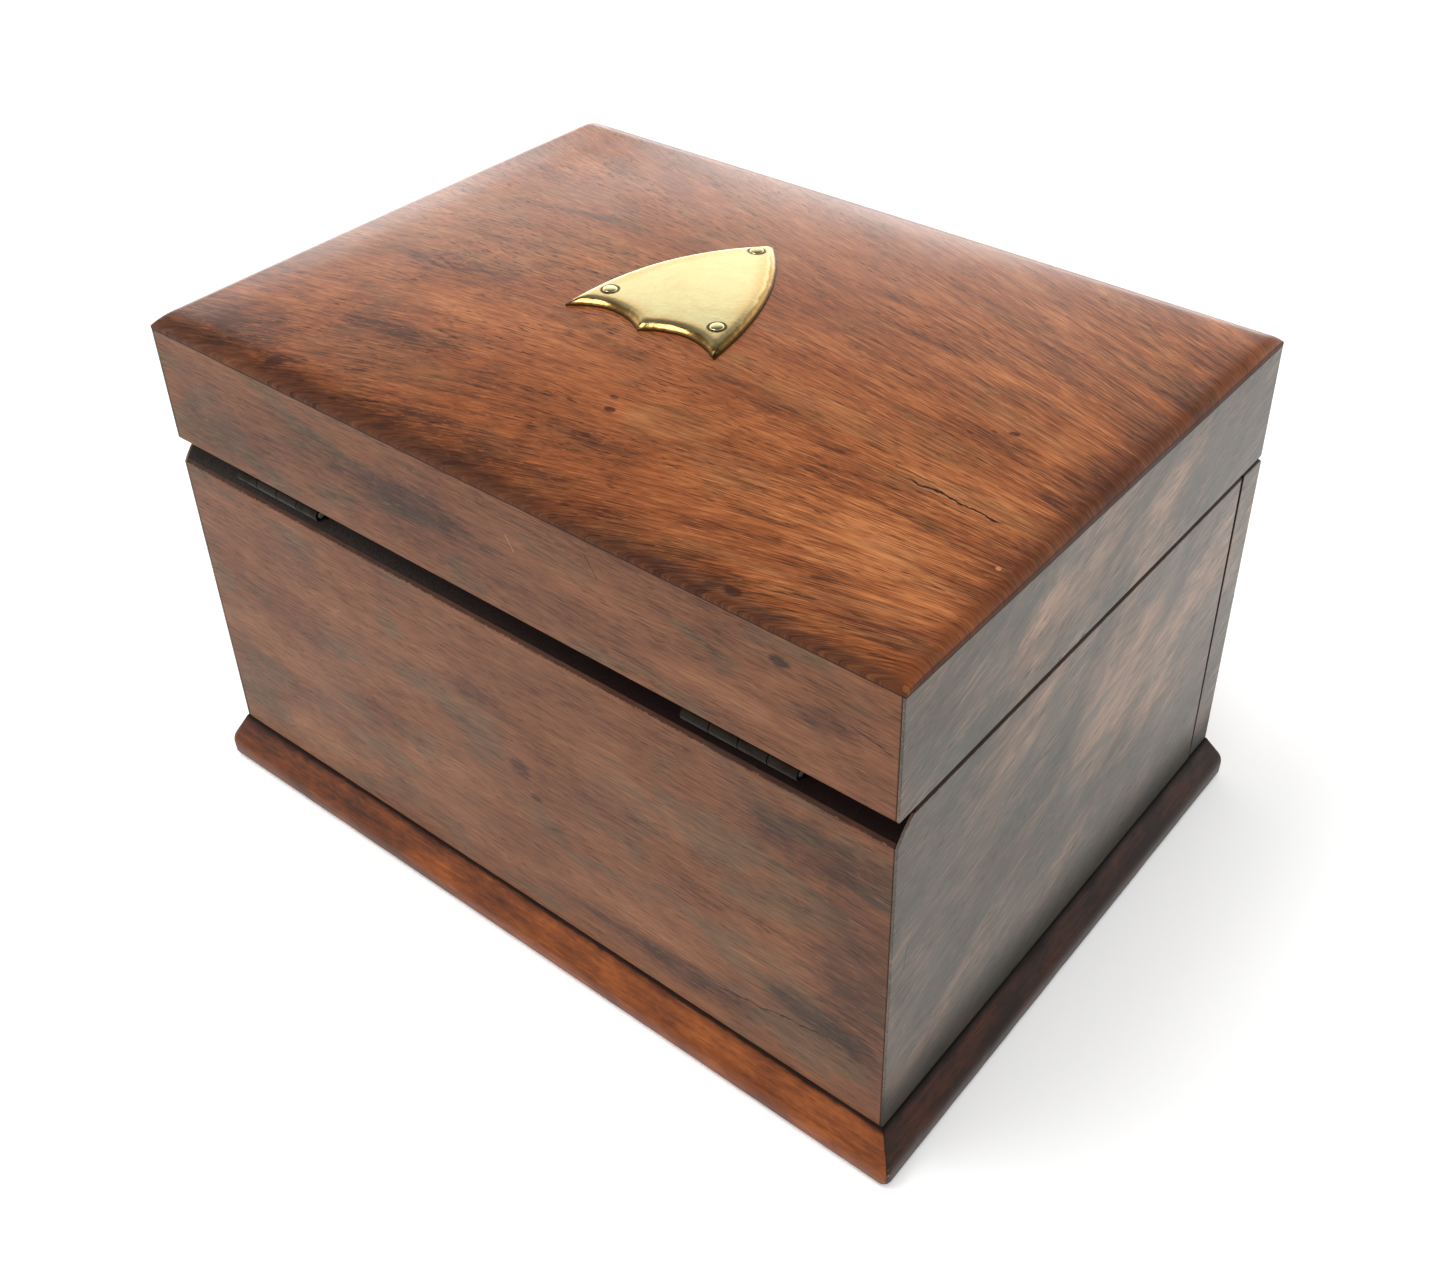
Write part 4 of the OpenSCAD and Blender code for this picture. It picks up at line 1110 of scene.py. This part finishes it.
def scattered(name, tree, sizes, places, turns, material):
    # one point per fastener, with its turn stored on it, put through the tree and made a plain mesh
    made = meshObject(name, places, [], material)
    turn = made.data.attributes.new("turn", "FLOAT_VECTOR", "POINT")
    for i, euler in enumerate(turns):
        turn.data[i].vector = euler
    modifier = made.modifiers.new("fasteners", "NODES")
    modifier.node_group = tree.group
    for key, value in sizes.items():
        modifier[tree.ids[key]] = value
    made.update_tag()
    applied(made)
    smooth(made)
    return made


screwSizes = {
    "headRadius": 0.0026,
    "shankRadius": 0.0014,
    "length": 0.012,
    "tip": 0.003,
    "slotWidth": 0.0007,
    "slotDepth": 0.0006,
    "sides": 28,
}
smallScrew = {
    "headRadius": 0.0019,
    "shankRadius": 0.001,
    "length": 0.0054,
    "tip": 0.0012,
    "slotWidth": 0.0005,
    "slotDepth": 0.0005,
}


def screwTree(material):
    tree = Geometry("slottedScrew", screwSizes)
    headRadius, shankRadius = tree.size("headRadius"), tree.size("shankRadius")
    length, tip = tree.size("length"), tree.size("tip")
    headHeight = headRadius - shankRadius
    shankEnd = tip - length

    def cone(top, bottom, depth, z):
        made = tree.node("GeometryNodeMeshCone", None, {
            "Vertices": tree.size("sides"), "Radius Top": top, "Radius Bottom": bottom, "Depth": depth})
        return tree.moved(made, z)

    slot = tree.node("GeometryNodeMeshCube", None, {
        "Size": tree.place(0.02, tree.size("slotWidth"), tree.size("slotDepth") * 2.0)})
    head = tree.node("GeometryNodeMeshBoolean", {"operation": "DIFFERENCE"}, {
        "Mesh 1": cone(headRadius, shankRadius, headHeight, headHeight * -1.0), "Mesh 2": slot})
    shank = cone(shankRadius, shankRadius, shankEnd * -1.0 - headHeight, shankEnd)
    point = cone(shankRadius, 0.0003, tip, length * -1.0)
    tree.spread([head, shank, point], material, (1.0, 1.0, 1.0))
    return tree


pinSizes = {
    "radius": 0.0022,
    "height": 0.0004,
    "stem": 0.0009,
    "stemLength": 0.008,
    "spread": 0.06,
    "seed": 4,
}


def pinTree(material):
    tree = Geometry("roundHeadPin", pinSizes)
    ball = tree.node("GeometryNodeMeshUVSphere", None, {
        "Segments": 32, "Rings": 20, "Radius": tree.size("radius")})
    flat = tree.size("height") / tree.size("radius")
    ball = tree.node("GeometryNodeTransform", None, {"Geometry": ball, "Scale": tree.place(1.0, 1.0, flat)})
    stem = tree.node("GeometryNodeMeshCylinder", None, {
        "Vertices": 20, "Radius": tree.size("stem"), "Depth": tree.size("stemLength")})
    stem = tree.moved(stem, tree.size("stemLength") * -0.5)
    varied = tree.node("FunctionNodeRandomValue", {"data_type": "FLOAT"}, {
        2: 1.0 - tree.size("spread"), 3: 1.0, "Seed": tree.size("seed")}, 1)
    tree.spread([ball, stem], material, varied)
    return tree


hinge = {
    "x": 0.091,
    "y": 0.0984,
    "z": 0.13485,
    "reach": 0.0066,          # from the knuckles to the screws
    "face": 0.00115,          # of a leaf over the knuckles' middle
    "spacing": fallHinge["length"] / 3,
}
lock = {"screwX": 0.0265, "screwY": -0.0916, "top": 0.1362, "keeperX": 0.0155, "keeperY": -0.0925}


def leaned(x, y, z):
    # where a place of the upright fall front lies once the front leans out on its hinge
    turned = Matrix.Rotation(lean, 3, "X") @ Vector((0, y - fallHinge["y"], z - fallHinge["z"]))
    return (x, turned.y + fallHinge["y"], turned.z + fallHinge["z"])


screws = screwTree(agedSteel)
dice = random.Random(11)
spacings = [side * hinge["x"] + i * hinge["spacing"] for side in (-1, 1) for i in (-1, 0, 1)]


def twist(up, tilt):
    return (tilt if up else math.pi + tilt, 0, dice.uniform(0, math.pi))


def screwRow(name, node, places, up, tilt=0.0, **changes):
    # the heads look up, or down where up is false
    turns = [twist(up, tilt) for _ in places]
    made = scattered(name, screws, {**screwSizes, **changes}, places, turns, agedSteel)
    return settle(made, node)


lidY = hinge["y"] - hinge["reach"]
fallY = fallHinge["y"] + hinge["reach"]
lockXs = (-lock["screwX"], lock["screwX"])
keeperXs = (-lock["keeperX"], lock["keeperX"])
screwRow("hingeBodyScrews", "hinge_body_screws",
         [(x, lidY, hinge["z"] - hinge["face"]) for x in spacings], True)
screwRow("hingeLidScrews", "hinge_lid_screws",
         [(x, lidY, hinge["z"] + hinge["face"]) for x in spacings], False)
screwRow("fallHingeBaseScrews", "fall_hinge_base_screws",
         [(x, fallY, fallHinge["z"] - hinge["face"]) for x in spacings], True)
screwRow("fallHingeScrews", "fall_hinge_screws",
         [leaned(x, fallY, fallHinge["z"] + hinge["face"]) for x in spacings], False, lean)
screwRow("lockScrews", "lock_screws",
         [leaned(x, lock["screwY"], lock["top"]) for x in lockXs], True, lean, **smallScrew)
screwRow("keeperScrews", "keeper_screws",
         [(x, lock["keeperY"], box["lidBottom"]) for x in keeperXs], False, **smallScrew)

pins = pinTree(pinBrass)
made = scattered("shieldPins", pins, pinSizes,
                 [(x, y, box["rim"] + domeRise(x, y) + shield["pinHeight"]) for x, y in pinPlaces],
                 shield["pinTurns"], pinBrass)
settle(made, "shield_pins")
print("fasteners made")


cloth = {
    "halfWidth": 0.1268,
    "front": -0.0863,
    "back": 0.0868,
    "bottom": 0.026,
    "thickness": 0.0008,
    "cell": 0.004,
    "slack": 0.00012,         # how far it lifts off the floor here and there
    "tucked": 0.0002,         # how far its edge lies lower
}


def makeCloth(look):
    wide = int(2 * look["halfWidth"] / look["cell"])
    deep = int((look["back"] - look["front"]) / look["cell"])
    xs = np.linspace(-look["halfWidth"], look["halfWidth"], wide)
    ys = np.linspace(look["front"], look["back"], deep)
    dice = np.random.default_rng(5)
    slack = dice.uniform(-1, 1, (deep, wide))
    for _ in range(6):
        slack[1:-1, 1:-1] = (slack[:-2, 1:-1] + slack[2:, 1:-1] + slack[1:-1, :-2] + slack[1:-1, 2:]) / 4
    top, low = [], []
    for j, y in enumerate(ys):
        for i, x in enumerate(xs):
            edge = min(i, j, wide - 1 - i, deep - 1 - j)
            lift = look["slack"] * slack[j, i] if edge else -look["tucked"]
            top.append((x, y, look["bottom"] + look["thickness"] + lift))
            low.append((x, y, look["bottom"]))
    made = meshObject("floorCloth", top + low, slabFaces(wide, deep), baize)
    smooth(made, 60)
    settle(made, "floor_cloth")
    return made


makeCloth(cloth)
print("lining made")


finishes = {
    "carcase_wood": carcaseWood,
    "veneer": wallWood,
    "plinth_wood": plinthWood,
    "lining": baize,
    "hinge_brass": hingeBrass,
    "shield_brass": shieldBrass,
    "lock_brass": lockBrass,
    "steel": agedSteel,
}
sideNames = ("left_veneer", "right_veneer", "lid_left_veneer", "lid_right_veneer", "fall_left_end_veneer",
             "fall_right_end_veneer")
ownFinishes = [
    (sideWood, sideNames),
    (carcaseWoodSide, ("left_board", "right_board", "lid_left_rail", "lid_right_rail")),
    (plinthWoodSide, ("plinth_left", "plinth_right")),
]
edgeWidths = {
    "carcase_wood": 0.00025,
    "veneer": 0.00018,
    "plinth_wood": 0.0004,
    "hinge_brass": 0.00015,
    "lock_brass": 0.00015,
    "steel": 0.0001,
}

for entry in frame["record"]["subparts"]:
    part, slotName = nodes[entry["node"]], entry["material_slot"]
    finish = finishes[slotName]
    for own, names in ownFinishes:
        if part.name in names:
            finish = own
    part.data.materials.clear()
    part.data.materials.append(finish)
    if part.hide_render:
        continue
    if slotName in edgeWidths:
        weld = part.modifiers.new("weld", "WELD")
        weld.merge_threshold = 1e-6
        flat = part.modifiers.new("wholeFaces", "DECIMATE")
        flat.decimate_type = "DISSOLVE"
        flat.angle_limit = math.radians(0.2)
        soften = part.modifiers.new("softEdge", "BEVEL")
        soften.width = edgeWidths[slotName]
        soften.segments = 2
        soften.limit_method = "ANGLE"
        soften.angle_limit = math.radians(40)
        even = part.modifiers.new("flatFaces", "WEIGHTED_NORMAL")
        even.keep_sharp = True
        even.weight = 90
    smooth(part, 30)
print("finishes set")


stage = {
    "floor": (0.92, 0.92, 0.915),
    "glow": 0.28,
    "size": 4.0,
    "fade": (500, 1600),      # mm from the middle, over which it turns white
}
white = (1, 1, 1)


def showsBackground(tree):
    # camera, mirror and see-through rays
    seen = tree.node("ShaderNodeLightPath", out="Is Camera Ray")
    glossy = tree.node("ShaderNodeLightPath", out="Is Glossy Ray")
    through = tree.node("ShaderNodeLightPath", out="Is Transmission Ray")
    return (seen + glossy + through).least(1)


def makeFloor(look):
    tree = Finish("paleFloor")
    shown = showsBackground(tree)
    diffuse = tree.node("ShaderNodeBsdfDiffuse", None, {"Color": look["floor"]})
    glow = tree.node("ShaderNodeEmission", None, {"Color": white, "Strength": shown * look["glow"]})
    near = tree.node("ShaderNodeAddShader", None, {0: diffuse, 1: glow})
    far = tree.node("ShaderNodeEmission", None, {"Color": white})
    away = tree.ease(tree.vector("LENGTH", tree.point), *look["fade"]) * shown
    s = look["size"]
    floor = meshObject("paleFloor", [(-s, -s, 0), (s, -s, 0), (s, s, 0), (-s, s, 0)], [(0, 1, 2, 3)],
                       tree.surface(tree.mixShader(away, near, far)))
    return floor


makeFloor(stage)

sky = {
    "strength": 2.6,
    "steps": [(0.0, 1.15), (0.12, 0.95), (0.26, 0.46), (0.50, 0.44), (0.66, 0.05), (1.0, 0.03)],
    "panel": (0.37, 0.27, 0.90),          # the way to the middle of a soft bright panel
    "panelEdge": (0.966, 0.985),
    "panelLevel": 2.1,
}


def makeSky(look):
    # brighter towards the horizon, and plain white where the camera sees it
    world = bpy.data.worlds.new("softSky")
    bpy.context.scene.world = world
    world.use_nodes = True
    tree = Shading(world.node_tree)
    direction = tree.node("ShaderNodeTexCoord", out="Generated")
    steps = [(height, (level, level, level)) for height, level in look["steps"]]
    level = tree.ramp(tree.parts(direction)[2], steps, "B_SPLINE")
    toPanel = tree.vector("DOT_PRODUCT", direction, Vector(look["panel"]).normalized())
    panel = tree.ease(toPanel, *look["panelEdge"], 0, look["panelLevel"])
    light = tree.mix(1, level, panel, "ADD")
    soft = tree.node("ShaderNodeBackground", None, {"Color": light, "Strength": look["strength"]})
    plain = tree.node("ShaderNodeBackground", None, {"Color": white})
    seen = tree.node("ShaderNodeLightPath", out="Is Camera Ray")
    tree.node("ShaderNodeOutputWorld", None, {0: tree.mixShader(seen, soft, plain)})


makeSky(sky)

overhead = {"place": (-0.1, 0.25, 1.7), "towards": (0, 0, 0.08), "size": 1.3, "watts": 12}


def makeLamp(name, look):
    light = bpy.data.lights.new(name, "AREA")
    light.shape = "SQUARE"
    light.size = look["size"]
    light.energy = look["watts"]
    lamp = bpy.data.objects.new(name, light)
    bpy.context.scene.collection.objects.link(lamp)
    lamp.visible_glossy = False
    lamp.location = look["place"]
    aim = Vector(look["towards"]) - Vector(look["place"])
    lamp.rotation_euler = aim.to_track_quat("-Z", "Y").to_euler()


makeLamp("overhead", overhead)

shot = {
    "place": (-0.288518, 0.336976, 0.423451),
    "right": (-0.785846, -0.618352, -0.009273),
    "up": (0.356194, -0.464833, 0.810590),
    "frame": (1445, 1274),       # pixels, as are the two below
    "focal": 1661.8,
    "centre": (762.0, 532.9),
    "sensor": 36,
}


def makeCamera(look):
    data = bpy.data.cameras.new("camera")
    wide, tall = look["frame"]
    data.sensor_width = look["sensor"]
    data.sensor_fit = "HORIZONTAL"
    data.lens = look["sensor"] * look["focal"] / wide
    data.shift_x = (wide / 2 - look["centre"][0]) / wide
    data.shift_y = (look["centre"][1] - tall / 2) / wide
    data.clip_start = 0.01
    camera = bpy.data.objects.new("camera", data)
    bpy.context.scene.collection.objects.link(camera)
    right, up = Vector(look["right"]), Vector(look["up"])
    turn = Matrix((right, up, right.cross(up))).transposed().to_4x4()
    camera.matrix_world = Matrix.Translation(look["place"]) @ turn
    bpy.context.scene.camera = camera


makeCamera(shot)
bpy.context.scene.view_settings.view_transform = "Standard"
print("stage, lamps and camera set")
